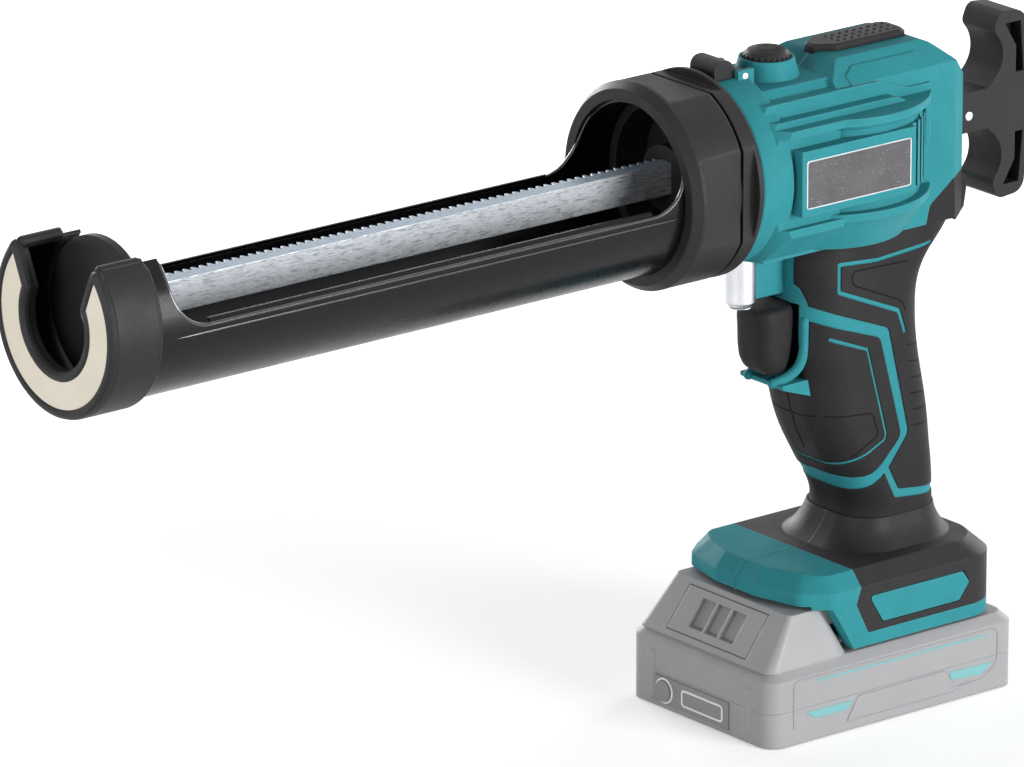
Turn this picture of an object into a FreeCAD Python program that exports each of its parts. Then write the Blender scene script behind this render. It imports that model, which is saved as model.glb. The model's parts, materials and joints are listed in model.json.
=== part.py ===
import FreeCAD, Part
import math
import os
import re

import Sketcher
from FreeCAD import Rotation, Vector

# Cordless caulking tool standing on its battery.
# Origin at the middle of the battery's underside, +Z up, +X towards the pull handle at the rear.
# The barrel points along -X, and the left side of the tool is -Y. Lengths are in millimetres.

doc = FreeCAD.newDocument("caulking_tool")

# Handle sections from the foot up into the body: (height, front, rear)
HANDLE_SECTIONS = [
    (46.0, -3.0, 38.5), (57.0, 0.0, 37.8), (64.0, 2.0, 37.3), (73.0, -2.0, 36.9), (84.0, -8.5, 35.6),
    (95.0, -13.6, 34.2), (108.0, -17.0, 31.6), (120.0, -19.5, 29.6), (132.0, -20.0, 29.2),
    (142.0, -20.0, 31.5), (150.0, -20.0, 37.5), (160.0, -20.0, 43.0)]
HANDLE_SIZES = {f"handle_{what}_{place}": value for place, section in enumerate(HANDLE_SECTIONS)
                for what, value in zip(("height", "front", "rear"), section)}

# Sections of the flared neck between the foot and the handle: (height, front, rear, half width, corner)
NECK_SECTIONS = [
    (50.5, -9.0, 43.5, 25.0, 18.0), (53.5, -4.5, 41.0, 21.5, 16.0), (57.0, -1.5, 39.0, 19.2, 14.0),
    (61.0, 0.7, 37.9, 18.2, 13.2)]
NECK_SIZES = {f"neck_{what}_{place}": value for place, section in enumerate(NECK_SECTIONS)
              for what, value in zip(("height", "front", "rear", "width", "corner"), section)}
# Side views of the hard inlays that show through the grip: (x, height, corner radius)
GUARD_AREA = [(-60, 111), (-17.6, 111, 7), (-17.6, 137, 3), (-19.4, 143.8, 3), (-60, 144.8)]
GRIP_BAND = [(-18, 131.5), (7.5, 122.4, 3), (17, 87.6, 4), (8.6, 79.4, 6), (3, 75.5, 12), (-12, 76.5),
             (-12, 69.5), (3.9, 71, 12), (11.9, 77.4, 6), (20.2, 88, 4), (11.2, 125, 3), (-18, 136.5)]
GRIP_BRANCH = [(9.5, 77.2), (14.6, 66.8, 1), (40, 64), (40, 66.6), (16.3, 69.6, 1), (12, 77.8)]
UPPER_LINE = [(30, 151), (6, 149.4, 4), (-10.4, 150.8, 1), (-10.4, 140.2, 1), (14.6, 129.4, 1), (17.6, 121.5),
              (18.9, 122), (15.8, 130.6, 1), (-9, 141.2, 0.4), (-9, 149.2, 0.4), (6, 148, 4), (30, 149.6)]
PALM_LINE = [(-12.8, 126.1), (2.6, 119.9, 1), (11, 89.7, 1), (10.5, 87.1, 1), (-6.8, 79.2), (-7.2, 80.2),
             (9.6, 87.9, 0.6), (9.9, 89.6, 0.6), (1.8, 119, 0.6), (-13.2, 124.9)]

SIZES = {
    # Shared clearances
    "part_gap": 0.3,
    "running_gap": 0.05,
    "far_side": 500.0,
    # Barrel: a tube along X, open upwards between its two ends
    "axis_height": 185.5,
    "barrel_radius": 28.0,
    "barrel_wall": 1.0,
    "barrel_front": -302.0,
    "barrel_rear": -56.0,
    "trough_front": -282.0,
    "trough_rear": -81.0,
    "trough_level": -1.1,
    "trough_corner": 14.0,
    "lip_length": 1.7,
    # Front cap with its nozzle slot and pale ring
    "cap_front": -306.0,
    "cap_rear": -288.5,
    "cap_radius": 30.0,
    "cap_edge": 1.6,
    "slot_radius": 15.0,
    "slot_throat": 13.0,
    "slot_throat_rise": 8.0,
    "slot_flare": 21.0,
    "slot_flare_rise": 24.0,
    "slot_margin": 2.0,
    "ring_radius": 27.4,
    "ring_seat": 1.2,
    "ring_thickness": 1.6,
    # Collar behind the barrel
    "collar_front": -82.5,
    "collar_radius": 33.75,
    "collar_lip": 3.0,
    "collar_step": 2.2,
    "collar_flat": 30.4,
    "collar_flat_front": -78.0,
    "collar_groove": -62.0,
    "collar_groove_width": 1.2,
    # Guide block: the spigot that carries the barrel and the front rack bush
    "spigot_front": -68.0,
    "spigot_wall": 3.0,
    "guide_flange_front": -52.0,
    "guide_rear": -44.5,
    "guide_boss_radius": 11.0,
    # Rack, pusher and pull handle
    "rack_front": -287.0,
    "rack_rear": 60.0,
    "rack_half_width": 3.6,
    "rack_low": -4.1,
    "rack_high": 6.1,
    "tooth_module": 1.0,
    "tooth_addendum": 0.9,
    "tooth_dedendum": 1.25,
    "tooth_backlash": 0.16,
    "pusher_front": -291.0,
    "pusher_radius": 24.0,
    "pusher_rim": 4.0,
    "pusher_hub_radius": 9.0,
    "pusher_hub_length": 7.0,
    "pusher_screw_radius": 2.0,
    "pusher_screw_length": 12.0,
    "pusher_screw_head": 4.5,
    "pusher_screw_head_height": 2.2,
    "pull_front": 47.0,
    "pull_rear": 78.5,
    "pull_hook": 63.0,
    "pull_notch": 70.4,
    "pull_stem_low": -5.5,
    "pull_stem_high": 8.0,
    "pull_half_height": 31.5,
    "pull_notch_rise": 16.0,
    "pull_half_width": 8.0,
    "pull_pocket_depth": 5.5,
    "pull_wall": 2.4,
    "pull_pin_radius": 1.5,
    "pull_pin_x": 53.0,
    # Body of the housing
    "body_front": -53.5,
    "ring_length": 13.0,
    "front_ring_radius": 31.0,
    "body_rear": 46.0,
    "rear_cover_front": 36.0,
    "wall": 2.6,
    "deck_half_width": 15.0,
    "deck_rise": 27.0,
    "shoulder_half_width": 22.0,
    "shoulder_rise": 24.3,
    "ledge_rise": 19.6,
    "side_half_width": 20.0,
    "side_low": -17.0,
    "belly_half_width": 19.0,
    "belly_low": -28.5,
    "rear_chamfer_front": 33.0,
    "rear_chamfer_half_width": 22.5,
    "rear_half_width": 13.0,
    "flare_front": -46.5,
    "shoulder_bend_front": 2.0,
    "shoulder_bend_rear": 15.0,
    "shoulder_end": 24.0,
    "shoulder_end_rise": 20.0,
    "ledge_half_width": 26.5,
    "ledge_bend_front": 6.0,
    "ledge_end": 17.0,
    "box_front": -47.0,
    "box_rear": -19.4,
    "box_half_width": 31.0,
    "box_rise": 17.5,
    "box_band": 2.6,
    "box_recess": 2.4,
    "box_under_half_width": 20.0,
    "box_under_low": -27.0,
    "drum_x": -3.0,
    "drum_radius": 31.6,
    "drum_taper_radius": 27.0,
    "drum_taper_low": -27.5,
    "drum_hollow_high": 14.5,
    "disc_radius": 35.0,
    "disc_low": 13.8,
    "disc_edge": 1.2,
    "panel_drum_radius": 33.2,
    "panel_front": -39.0,
    "panel_half_width": 33.4,
    "panel_rear": 8.0,
    "panel_low": -10.5,
    "panel_high": 11.0,
    "plate_front": -37.0,
    "plate_rear": 6.0,
    "plate_low": -8.0,
    "plate_high": 7.5,
    "plate_thickness": 0.8,
    "vent_first": 11.0,
    "vent_pitch": 3.2,
    "vent_width": 1.4,
    "vent_depth": 1.6,
    "vent_count": 4,
    # Pedestal and controls on top
    "pedestal_front": -12.0,
    "pedestal_top": 217.0,
    "pedestal_half_width": 12.5,
    "pedestal_base_half_width": 20.0,
    "pedestal_base": 198.0,
    "pedestal_foot": 210.0,
    "pedestal_slope_front": 29.0,
    "pedestal_slope_drop": 15.0,
    "facet_front": -8.0,
    "facet_rear": 23.0,
    "facet_tip": 30.5,
    "facet_low": 204.5,
    "facet_high": 214.6,
    "facet_proud": 0.8,
    "pad_front": -8.5,
    "pad_nose": 2.0,
    "pad_taper": 6.5,
    "pad_rear": 28.0,
    "pad_half_width": 6.4,
    "pad_corner": 3.0,
    "pad_proud": 2.2,
    "pad_edge": 0.9,
    "pad_depth": 2.0,
    "pad_travel": 2.5,
    "dial_x": -26.0,
    "dial_radius": 7.7,
    "dial_low": 215.0,
    "dial_high": 221.2,
    "dial_ribs": 24,
    "dial_rib_radius": 0.5,
    "dial_stem_radius": 3.0,
    "boss_base_radius": 11.6,
    "boss_top_radius": 8.9,
    "boss_top": 218.4,
    "latch_front": -52.5,
    "latch_rear": -40.0,
    "latch_low": 214.0,
    "latch_high": 222.0,
    "latch_fin": 7.0,
    "latch_fin_round": 3.3,
    "latch_half_width": 6.0,
    "latch_pin_radius": 1.2,
    "latch_pin_x": -41.5,
    "latch_pin_z": 216.2,
    "latch_ear": 2.2,
    # Handle: horizontal sections from the foot up into the body
    **HANDLE_SIZES,
    "handle_half_width": 18.0,
    "handle_corner": 13.0,
    "grip_thickness": 2.0,
    "handle_wall": 2.4,
    "grip_low": 52.5,
    "grip_high": 157.0,
    # Trigger and switch
    "trigger_front": -33.6,
    "trigger_waist": -32.0,
    "trigger_toe": -23.0,
    "trigger_rear": -13.5,
    "trigger_low": 111.4,
    "trigger_high": 136.2,
    "trigger_half_width": 8.5,
    "trigger_travel": 6.0,
    "guard_front": -27.0,
    "guard_thickness": 3.0,
    "guard_half_width": 10.5,
    "post_half_width": 7.0,
    "inlay_depth": 0.4,
    "tang_front": 24.5,
    "tang_rise": 163.5,
    "tang_shoulder": 36.0,
    "tang_high": 171.0,
    "tang_rear": 50.0,
    "tang_half_width": 11.0,
    "switch_front": -7.0,
    "switch_rear": 11.0,
    "switch_low": 106.5,
    "switch_high": 126.5,
    "switch_half_width": 8.0,
    # Work light below the front of the body
    "light_x": -36.0,
    "light_radius": 5.0,
    "light_low": 137.6,
    "light_lens_radius": 3.6,
    "light_lens_height": 1.6,
    # Motor, gearbox and gear train
    "motor_x": 11.0,
    "motor_radius": 12.1,
    "motor_low": 128.5,
    "motor_high": 158.0,
    "motor_bell_height": 4.0,
    "gearbox_radius": 13.0,
    "gearbox_high": 171.5,
    "gear_low": 174.8,
    "gear_high": 180.4,
    "drive_teeth": 16,
    "driven_teeth": 20,
    "pinion_teeth": 16,
    "shaft_radius": 2.5,
    "gear_plate_front": -18.0,
    "gear_plate_rear": 27.0,
    "gear_plate_thickness": 2.0,
    "lower_plate_low": 171.8,
    "upper_plate_low": 193.2,
    # Electronics
    "board_front": -41.0,
    "board_rear": -14.0,
    "board_half_width": 11.0,
    "board_low": 202.5,
    "board_thickness": 1.6,
    "pot_half_width": 5.0,
    "pot_height": 3.6,
    # Foot
    "foot_front": -37.5,
    "foot_rear": 48.0,
    "foot_round": 14.0,
    "foot_half_width": 34.0,
    "foot_low": 26.3,
    "foot_shoulder": 46.5,
    "foot_top": 51.5,
    "foot_inset": 4.5,
    "foot_skin": 2.2,
    "foot_wall": 2.4,
    "foot_roof": 42.5,
    "cover_front": -13.2,
    "cover_bend": 41.0,
    "cover_low": 30.7,
    "window_front": -9.0,
    "window_rear": 33.2,
    "window_low": 32.9,
    "window_high": 43.0,
    **NECK_SIZES,
    "rail_half_width": 24.0,
    "rail_low": 29.0,
    "rail_high": 34.0,
    "terminal_front": 4.0,
    "terminal_rear": 24.0,
    "terminal_half_width": 15.0,
    "terminal_low": 41.4,
    "blade_thickness": 0.8,
    "blade_pitch": 9.0,
    "blade_low": 34.8,
    # Battery
    "battery_half_length": 52.2,
    "battery_half_width": 35.6,
    "battery_corner": 6.0,
    "battery_wall": 2.2,
    "battery_split": 11.5,
    "battery_top": 25.0,
    "battery_chamfer": 3.0,
    "hump_half_width": 28.5,
    "hump_base_half_width": 33.0,
    "hump_round": 4.0,
    "hump_front": -51.0,
    "hump_low": 24.5,
    "hump_top_front": -38.5,
    "hump_top_rear": -25.0,
    "hump_top": 40.8,
    "hump_back": -16.6,
    "battery_gap": 0.5,
    "head_half_width": 28.4,
    "head_low": 34.6,
    "neck_half_width": 23.4,
    "head_rear": 26.5,
    "key_half_width": 19.5,
    "key_low": 26.5,
    "key_high": 39.0,
    "key_thickness": 4.5,
    "key_pocket_half_width": 11.0,
    "key_pocket_low": 28.6,
    "key_pocket_high": 37.0,
    "key_pocket_depth": 2.4,
    "key_rib": 1.0,
    "key_travel": 3.0,
    "cell_radius": 9.15,
    "cell_length": 65.0,
    "cell_pitch": 19.4,
    "cell_height": 11.6,
    "panel_left": -15.0,
    "panel_right": 24.0,
    "panel_bottom": 1.6,
    "panel_top": 10.8,
    "panel_depth": 1.4,
    "check_button_y": 17.0,
    "check_button_radius": 3.6,
    "window_left": -12.0,
    "window_right": 8.0,
    "window_half_height": 2.6,
    # Screws
    "screw_radius": 1.5,
    "screw_head_radius": 3.0,
    "screw_head_height": 2.0,
    "screw_boss_radius": 4.0,
    "screw_tip": -9.0,
    "body_screw_front": -36.0,
    "body_screw_middle": -30.0,
    "body_screw_rear": 31.5,
    "body_screw_low": 170.5,
    "body_screw_high": 198.3,
    "handle_screw_x": 14.0,
    "handle_screw_z": 98.0,
    "palm_screw_x": 22.0,
    "palm_screw_z": 68.0,
    "body_screw_seat": 21.0,
    "rear_screw_seat": 14.0,
    "handle_screw_seat": 11.0,
}

sheet = doc.addObject("Spreadsheet::Sheet", "sizes")
for row, (alias, value) in enumerate(SIZES.items(), start=1):
    sheet.set(f"A{row}", alias)
    sheet.set(f"B{row}", str(value))
    sheet.setAlias(f"B{row}", alias)
doc.recompute()

WORD = re.compile(r"[a-z][a-z_0-9]*")
PLANES = {
    "XY": (Vector(1, 0, 0), Vector(0, 1, 0), Vector(0, 0, 1), "z"),
    "XZ": (Vector(1, 0, 0), Vector(0, 0, 1), Vector(0, -1, 0), "y"),
    "YZ": (Vector(0, 1, 0), Vector(0, 0, 1), Vector(1, 0, 0), "x"),
}
ALONG = {
    "X": (Rotation(Vector(0, 1, 0), 90), "xyz"),
    "Y": (Rotation(Vector(1, 0, 0), -90), "yxz"),
    "Z": (Rotation(), "zxy"),
}
nodes = []


def link(formula):
    """Write each size's name in a formula as a reference to its cell."""
    def reference(word):
        return f"sizes.{word.group()}" if word.group() in SIZES else word.group()

    return WORD.sub(reference, str(formula))


def size(formula):
    """The present value of a formula of sizes."""
    return float(sheet.evalExpression(link(formula)))


def bind(thing, prop, formula):
    """Drive a property of an object by a formula of sizes."""
    thing.setExpression(prop, link(formula))


def between(span):
    """The length of a span given as two formulas."""
    return f"({span[1]}) - ({span[0]})"


def node(thing, label):
    """Name an object as one of the tool's separate pieces."""
    thing.Label = label
    nodes.append(thing)
    return thing


def block(name, x, y, z):
    """A block between the given spans along X, Y and Z."""
    solid = doc.addObject("Part::Box", name)
    for prop, axis, span in zip(("Length", "Width", "Height"), "xyz", (x, y, z)):
        bind(solid, prop, between(span))
        bind(solid, f"Placement.Base.{axis}", span[0])
    return solid


def rod(name, along, radius, span, centre):
    """A round bar along an axis; centre gives its other two coordinates in XYZ order."""
    solid = doc.addObject("Part::Cylinder", name)
    rotation, axes = ALONG[along]
    solid.Placement.Rotation = rotation
    bind(solid, "Radius", radius)
    bind(solid, "Height", between(span))
    for axis, place in zip(axes, (span[0], *centre)):
        bind(solid, f"Placement.Base.{axis}", place)
    return solid


def cone(name, along, radii, span, centre):
    """A round taper along an axis between two radii."""
    solid = doc.addObject("Part::Cone", name)
    rotation, axes = ALONG[along]
    solid.Placement.Rotation = rotation
    bind(solid, "Radius1", radii[0])
    bind(solid, "Radius2", radii[1])
    bind(solid, "Height", between(span))
    for axis, place in zip(axes, (span[0], *centre)):
        bind(solid, f"Placement.Base.{axis}", place)
    return solid


def fuse(name, *solids):
    """The solids joined into one."""
    joined = doc.addObject("Part::MultiFuse", name)
    joined.Shapes = list(solids)
    joined.Refine = True
    return joined


def cut(name, base, *tools):
    """A solid with the tools taken out of it."""
    result = doc.addObject("Part::Cut", name)
    result.Base = base
    result.Tool = tools[0] if len(tools) == 1 else fuse(f"{name}_tools", *tools)
    result.Refine = True
    return result


def overlap(name, base, tool):
    """What two solids have in common."""
    result = doc.addObject("Part::Common", name)
    result.Base = base
    result.Tool = tool
    result.Refine = True
    return result


def corner_points(points, radii):
    """Where the straight runs of an outline end at each corner, as (entry, exit) pairs."""
    ends = []
    for index, corner in enumerate(points):
        back = (points[index - 1] - corner).normalize()
        ahead = (points[(index + 1) % len(points)] - corner).normalize()
        reach = radii[index] / math.tan(back.getAngle(ahead) / 2) if radii[index] else 0.0
        ends.append((corner + back * reach, corner + ahead * reach))
    return ends


def outline(name, plane, offset, corners):
    """A closed sketch through corners (across, up) or (across, up, radius), each bound to its formulas."""
    sketch = doc.addObject("Sketcher::SketchObject", f"{name}_outline")
    across, up, normal, axis = PLANES[plane]
    sketch.Placement.Rotation = Rotation(across, up, normal, "XYZ")
    bind(sketch, f"Placement.Base.{axis}", offset)
    points = [Vector(size(corner[0]), size(corner[1])) for corner in corners]
    radii = [size(corner[2]) if len(corner) > 2 else 0.0 for corner in corners]
    ends = corner_points(points, radii)
    count = len(corners)
    for index in range(count):
        sketch.addGeometry(Part.LineSegment(ends[index][1], ends[(index + 1) % count][0]), False)

    def dimension(kind, *refs):
        formula = refs[-1]
        place = sketch.addConstraint(Sketcher.Constraint(kind, *refs[:-1], size(formula)))
        bind(sketch, f"Constraints[{place}]", formula)

    for index, corner in enumerate(corners):
        before = (index - 1) % count
        if not radii[index]:
            sketch.addConstraint(Sketcher.Constraint("Coincident", before, 2, index, 1))
            dimension("DistanceX", -1, 1, index, 1, corner[0])
            dimension("DistanceY", -1, 1, index, 1, corner[1])
            continue
        entry, leave = ends[index]
        back = (points[before] - points[index]).normalize()
        ahead = (points[(index + 1) % count] - points[index]).normalize()
        half = back.getAngle(ahead) / 2
        centre = points[index] + (back + ahead).normalize() * (radii[index] / math.sin(half))
        turns_left = back.cross(ahead).z < 0
        first, last = (entry, leave) if turns_left else (leave, entry)
        angles = [math.atan2(end.y - centre.y, end.x - centre.x) for end in (first, last)]
        if angles[1] < angles[0]:
            angles[1] += 2 * math.pi
        circle = Part.Circle(centre, Vector(0, 0, 1), radii[index])
        arc = sketch.addGeometry(Part.ArcOfCircle(circle, *angles), False)
        arc_entry, arc_leave = (1, 2) if turns_left else (2, 1)
        sketch.addConstraint(Sketcher.Constraint("Tangent", before, 2, arc, arc_entry))
        sketch.addConstraint(Sketcher.Constraint("Tangent", arc, arc_leave, index, 1))
        dimension("Radius", arc, corner[2])
        point = sketch.addGeometry(Part.Point(points[index]), True)
        sketch.addConstraint(Sketcher.Constraint("PointOnObject", point, 1, before))
        sketch.addConstraint(Sketcher.Constraint("PointOnObject", point, 1, index))
        dimension("DistanceX", -1, 1, point, 1, corner[0])
        dimension("DistanceY", -1, 1, point, 1, corner[1])
    return sketch


def prism(name, plane, span, corners):
    """An outline carried straight along the axis square to its plane, over a span of that axis."""
    start = span[1] if plane == "XZ" else span[0]
    solid = doc.addObject("Part::Extrusion", name)
    solid.Base = outline(name, plane, start, corners)
    solid.DirMode = "Normal"
    solid.Solid = True
    bind(solid, "LengthFwd", between(span))
    return solid


def mirrored(half):
    """An outline of (across, up) corners for the +Y side, closed with its mirror image."""
    other = [(f"-({corner[0]})", *corner[1:]) for corner in reversed(half)]
    return half + other


def turned(name, corners):
    """An outline of (x, radius) corners spun about the barrel's axis."""
    sketch = outline(name, "XZ", 0, [(x, f"axis_height + {radius}") for x, radius in corners])
    solid = doc.addObject("Part::Revolution", name)
    solid.Source = sketch
    solid.Axis = Vector(1, 0, 0)
    bind(solid, "Base.z", "axis_height")
    solid.Angle = 360
    solid.Solid = True
    return solid


def loft(name, sections, straight=False):
    """A smooth skin through outlines given as (height, corners) from low to high."""
    solid = doc.addObject("Part::Loft", name)
    solid.Sections = [outline(f"{name}_{place}", "XY", height, corners)
                      for place, (height, corners) in enumerate(sections)]
    solid.Solid = True
    solid.Ruled = straight
    return solid


def round_corners(front, rear, half_width, radius):
    """A rounded rectangle seen from above."""
    return [(front, f"-({half_width})", radius), (rear, f"-({half_width})", radius),
            (rear, half_width, radius), (front, half_width, radius)]


def both_sides(half):
    """A plan of (x, y) corners for the +Y side, closed with its mirror image."""
    other = [(x, f"-({y})", *rest) for x, y, *rest in half]
    return other + half[::-1]


def halves(name, solid, labels=("left", "right")):
    """A solid split at the middle plane into a left and a right piece."""
    for label, span in zip(labels, (("-far_side", "0"), ("0", "far_side"))):
        side = block(f"{name}_{label}_space", ("-far_side", "far_side"), span, ("-far_side", "far_side"))
        node(overlap(f"{name}_{label}", solid, side), f"{name}_{label}")


def up(rise):
    """A height given from the barrel's axis."""
    return f"axis_height + ({rise})"


# Barrel
axis = ("0", "axis_height")
barrel_span = ("barrel_front", "barrel_rear")
bore_radius = "barrel_radius - barrel_wall"
slot_corners = [("slot_throat", up(0)), ("slot_throat", up("slot_throat_rise")),
                ("slot_flare", up("slot_flare_rise")), ("slot_flare", up("2 * cap_radius"))]
slot_span = ("cap_front - cap_edge", "trough_front + trough_corner")
trough_low = up("trough_level")
trough_top = up("2 * barrel_radius")
wide = ("-2 * barrel_radius", "2 * barrel_radius")
trough = fuse(
    "trough_space",
    block("trough_floor", ("trough_front + trough_corner", "trough_rear - trough_corner"), wide,
          (trough_low, trough_top)),
    block("trough_mouth", ("trough_front", "trough_rear"), wide,
          (f"{trough_low} + trough_corner", trough_top)),
    rod("trough_front_corner", "Y", "trough_corner", wide,
        ("trough_front + trough_corner", f"{trough_low} + trough_corner")),
    rod("trough_rear_corner", "Y", "trough_corner", wide,
        ("trough_rear - trough_corner", f"{trough_low} + trough_corner")),
)
slot_mouth = prism("slot_mouth", "YZ", slot_span, mirrored(slot_corners))
tube = cut("barrel_tube", rod("barrel_outside", "X", "barrel_radius", barrel_span, axis),
           rod("barrel_bore", "X", bore_radius, ("barrel_front - cap_edge", "barrel_rear + cap_edge"), axis))
lip_span = ("trough_front + trough_corner", "trough_rear - trough_corner")
lip_corners = [("barrel_radius", trough_low), ("barrel_radius - lip_length", f"{trough_low} + lip_length"),
               ("barrel_radius - lip_length - barrel_wall", f"{trough_low} + lip_length"),
               ("barrel_radius - barrel_wall", trough_low)]
left_corners = [(f"-({across})", rise) for across, rise in reversed(lip_corners)]
node(fuse("barrel", cut("barrel_trough", tube, trough, slot_mouth),
          prism("barrel_lip_right", "YZ", lip_span, lip_corners),
          prism("barrel_lip_left", "YZ", lip_span, left_corners)), "barrel")

# Front cap: a cup over the barrel's end, slotted for the cartridge's nozzle
cap_cup = turned("cap_cup", [
    ("cap_front", 0), ("cap_front", "cap_radius - cap_edge"), ("cap_front + cap_edge", "cap_radius"),
    ("cap_rear", "cap_radius"), ("cap_rear", "barrel_radius"), ("barrel_front", "barrel_radius"),
    ("barrel_front", 0)])
slot_round = rod("slot_round", "X", "slot_radius", slot_span, axis)
slot = fuse("nozzle_slot", slot_round, prism("cap_slot_mouth", "YZ", slot_span, mirrored(slot_corners)))
ring_slot_corners = [("slot_throat + slot_margin", up(0)),
                     ("slot_throat + slot_margin", up("slot_throat_rise")),
                     ("slot_flare + slot_margin", up("slot_flare_rise")),
                     ("slot_flare + slot_margin", up("2 * cap_radius"))]
ring_slot = fuse("ring_slot", rod("ring_slot_round", "X", "slot_radius + slot_margin", slot_span, axis),
                 prism("ring_slot_mouth", "YZ", slot_span, mirrored(ring_slot_corners)))
ring_span = ("cap_front + ring_seat - ring_thickness", "cap_front + ring_seat")
cap_ring = cut("cap_ring", rod("ring_disc", "X", "ring_radius", ring_span, axis), ring_slot)
node(cap_ring, "cap_ring")
node(cut("front_cap", cap_cup, slot, cap_ring), "front_cap")

# Collar: screwed ring with four flats for the hand
collar_rear = "body_front - part_gap"
collar_body = turned("collar_body", [
    ("collar_front", "barrel_radius"), ("collar_front", "collar_radius - collar_step"),
    ("collar_front + collar_lip", "collar_radius"), (f"{collar_rear} - 1.5", "collar_radius"),
    (collar_rear, "collar_radius - 1.5"), (collar_rear, "barrel_radius")])
flat_span = ("collar_flat_front", f"{collar_rear} - collar_lip")
flats = cut("collar_flats", rod("flats_outside", "X", "2 * collar_radius", flat_span, axis),
            block("flats_inside", ("collar_front", "body_front"), ("-collar_flat", "collar_flat"),
                  (up("-collar_flat"), up("collar_flat"))))
groove_span = ("collar_groove", "collar_groove + collar_groove_width")
groove_floor = "collar_flat - collar_groove_width / 2"
groove = cut("collar_groove_ring", rod("groove_outside", "X", "2 * collar_radius", groove_span, axis),
             rod("groove_inside", "X", groove_floor, ("collar_front", "body_front"), axis))
node(cut("collar", collar_body, flats, groove), "collar")

# Guide block: spigot for the barrel, flange in the housing and front bush of the rack
guide_radius = f"{bore_radius} - running_gap"
guide = turned("guide_form", [
    ("spigot_front", f"{guide_radius} - spigot_wall"), ("spigot_front", guide_radius),
    ("guide_rear", guide_radius), ("guide_rear", 0), ("guide_flange_front - spigot_wall", 0),
    ("guide_flange_front - spigot_wall", f"{guide_radius} - spigot_wall")])
guide_boss = rod("guide_boss", "X", "guide_boss_radius", ("spigot_front", "guide_rear"), axis)


def rack_passage(name, x, gap):
    """The space that the rack runs through, wider than the rack by a clearance."""
    return block(name, x, (f"-rack_half_width - {gap}", f"rack_half_width + {gap}"),
                 (up(f"rack_low - {gap}"), up(f"rack_high + {gap}")))


whole = ("-far_side", "far_side")
node(cut("rack_guide", fuse("guide_solid", guide, guide_boss),
         rack_passage("guide_passage", whole, "running_gap")), "rack_guide")

# Gear train: positions that bring the teeth into mesh at rest
pitch = math.pi * size("tooth_module")
pinion_radius = size("pinion_teeth * tooth_module / 2")
gear_distance = size("(drive_teeth + driven_teeth) * tooth_module / 2")
pinion_y = size("rack_half_width - tooth_addendum") + pinion_radius
pinion_x = size("motor_x") - math.sqrt(gear_distance ** 2 - pinion_y ** 2)
pinion_place = (f"{pinion_x}", f"{pinion_y}")


def involute(angle):
    """The involute function of a pressure angle."""
    return math.tan(angle) - angle


def gear(name, teeth, heights, phase, place, bore):
    """A spur gear with involute flanks; phase is the direction of one tooth's middle."""
    pressure = math.radians(20)
    radius = size(f"{teeth} * tooth_module / 2")
    base = radius * math.cos(pressure)
    tip = radius + size("tooth_addendum")
    root = radius - size("tooth_dedendum")
    half = math.pi / (2 * size(teeth)) - size("tooth_backlash") / (4 * radius)
    flank = []
    steps = 5
    for step in range(steps + 1):
        reach = max(base, root) + (tip - max(base, root)) * step / steps
        flank.append((reach, half + involute(pressure) - involute(math.acos(min(1.0, base / reach)))))
    flank.insert(0, (root, flank[0][1]))
    corners = []
    for tooth in range(int(size(teeth))):
        middle = phase + 2 * math.pi * tooth / size(teeth)
        turn = [(reach, middle - angle) for reach, angle in flank]
        turn += [(reach, middle + angle) for reach, angle in reversed(flank)]
        corners += [Vector(reach * math.cos(angle), reach * math.sin(angle), 0) for reach, angle in turn]
    wire = Part.makePolygon(corners + corners[:1])
    body = Part.Face(wire).extrude(Vector(0, 0, size(between(heights))))
    body = body.cut(Part.makeCylinder(size(bore), size(between(heights))))
    piece = doc.addObject("Part::Feature", name)
    piece.Shape = body
    piece.Placement.Base = Vector(size(place[0]), size(place[1]), size(heights[0]))
    return piece


gear_heights = ("gear_low", "gear_high")
pinion_heights = (up("rack_low - part_gap"), up("rack_high + part_gap"))
to_drive = math.atan2(-pinion_y, size("motor_x") - pinion_x)
half_step = math.pi / size("drive_teeth")
node(gear("drive_gear", "drive_teeth", gear_heights, to_drive + math.pi + half_step, ("motor_x", "0"),
          "shaft_radius"), "drive_gear")
node(gear("driven_gear", "driven_teeth", gear_heights, to_drive, pinion_place, "shaft_radius"), "driven_gear")
pinion_phase = math.pi / size("pinion_teeth") - math.pi / 2
node(gear("pinion", "pinion_teeth", pinion_heights, pinion_phase, pinion_place, "shaft_radius"), "pinion")
lower_top = "lower_plate_low + gear_plate_thickness"
upper_top = "upper_plate_low + gear_plate_thickness"
node(rod("pinion_shaft", "Z", "shaft_radius", ("lower_plate_low", upper_top), pinion_place), "pinion_shaft")
node(rod("drive_shaft", "Z", "shaft_radius", ("gearbox_high", "gear_high"), ("motor_x", "0")), "drive_shaft")

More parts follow.
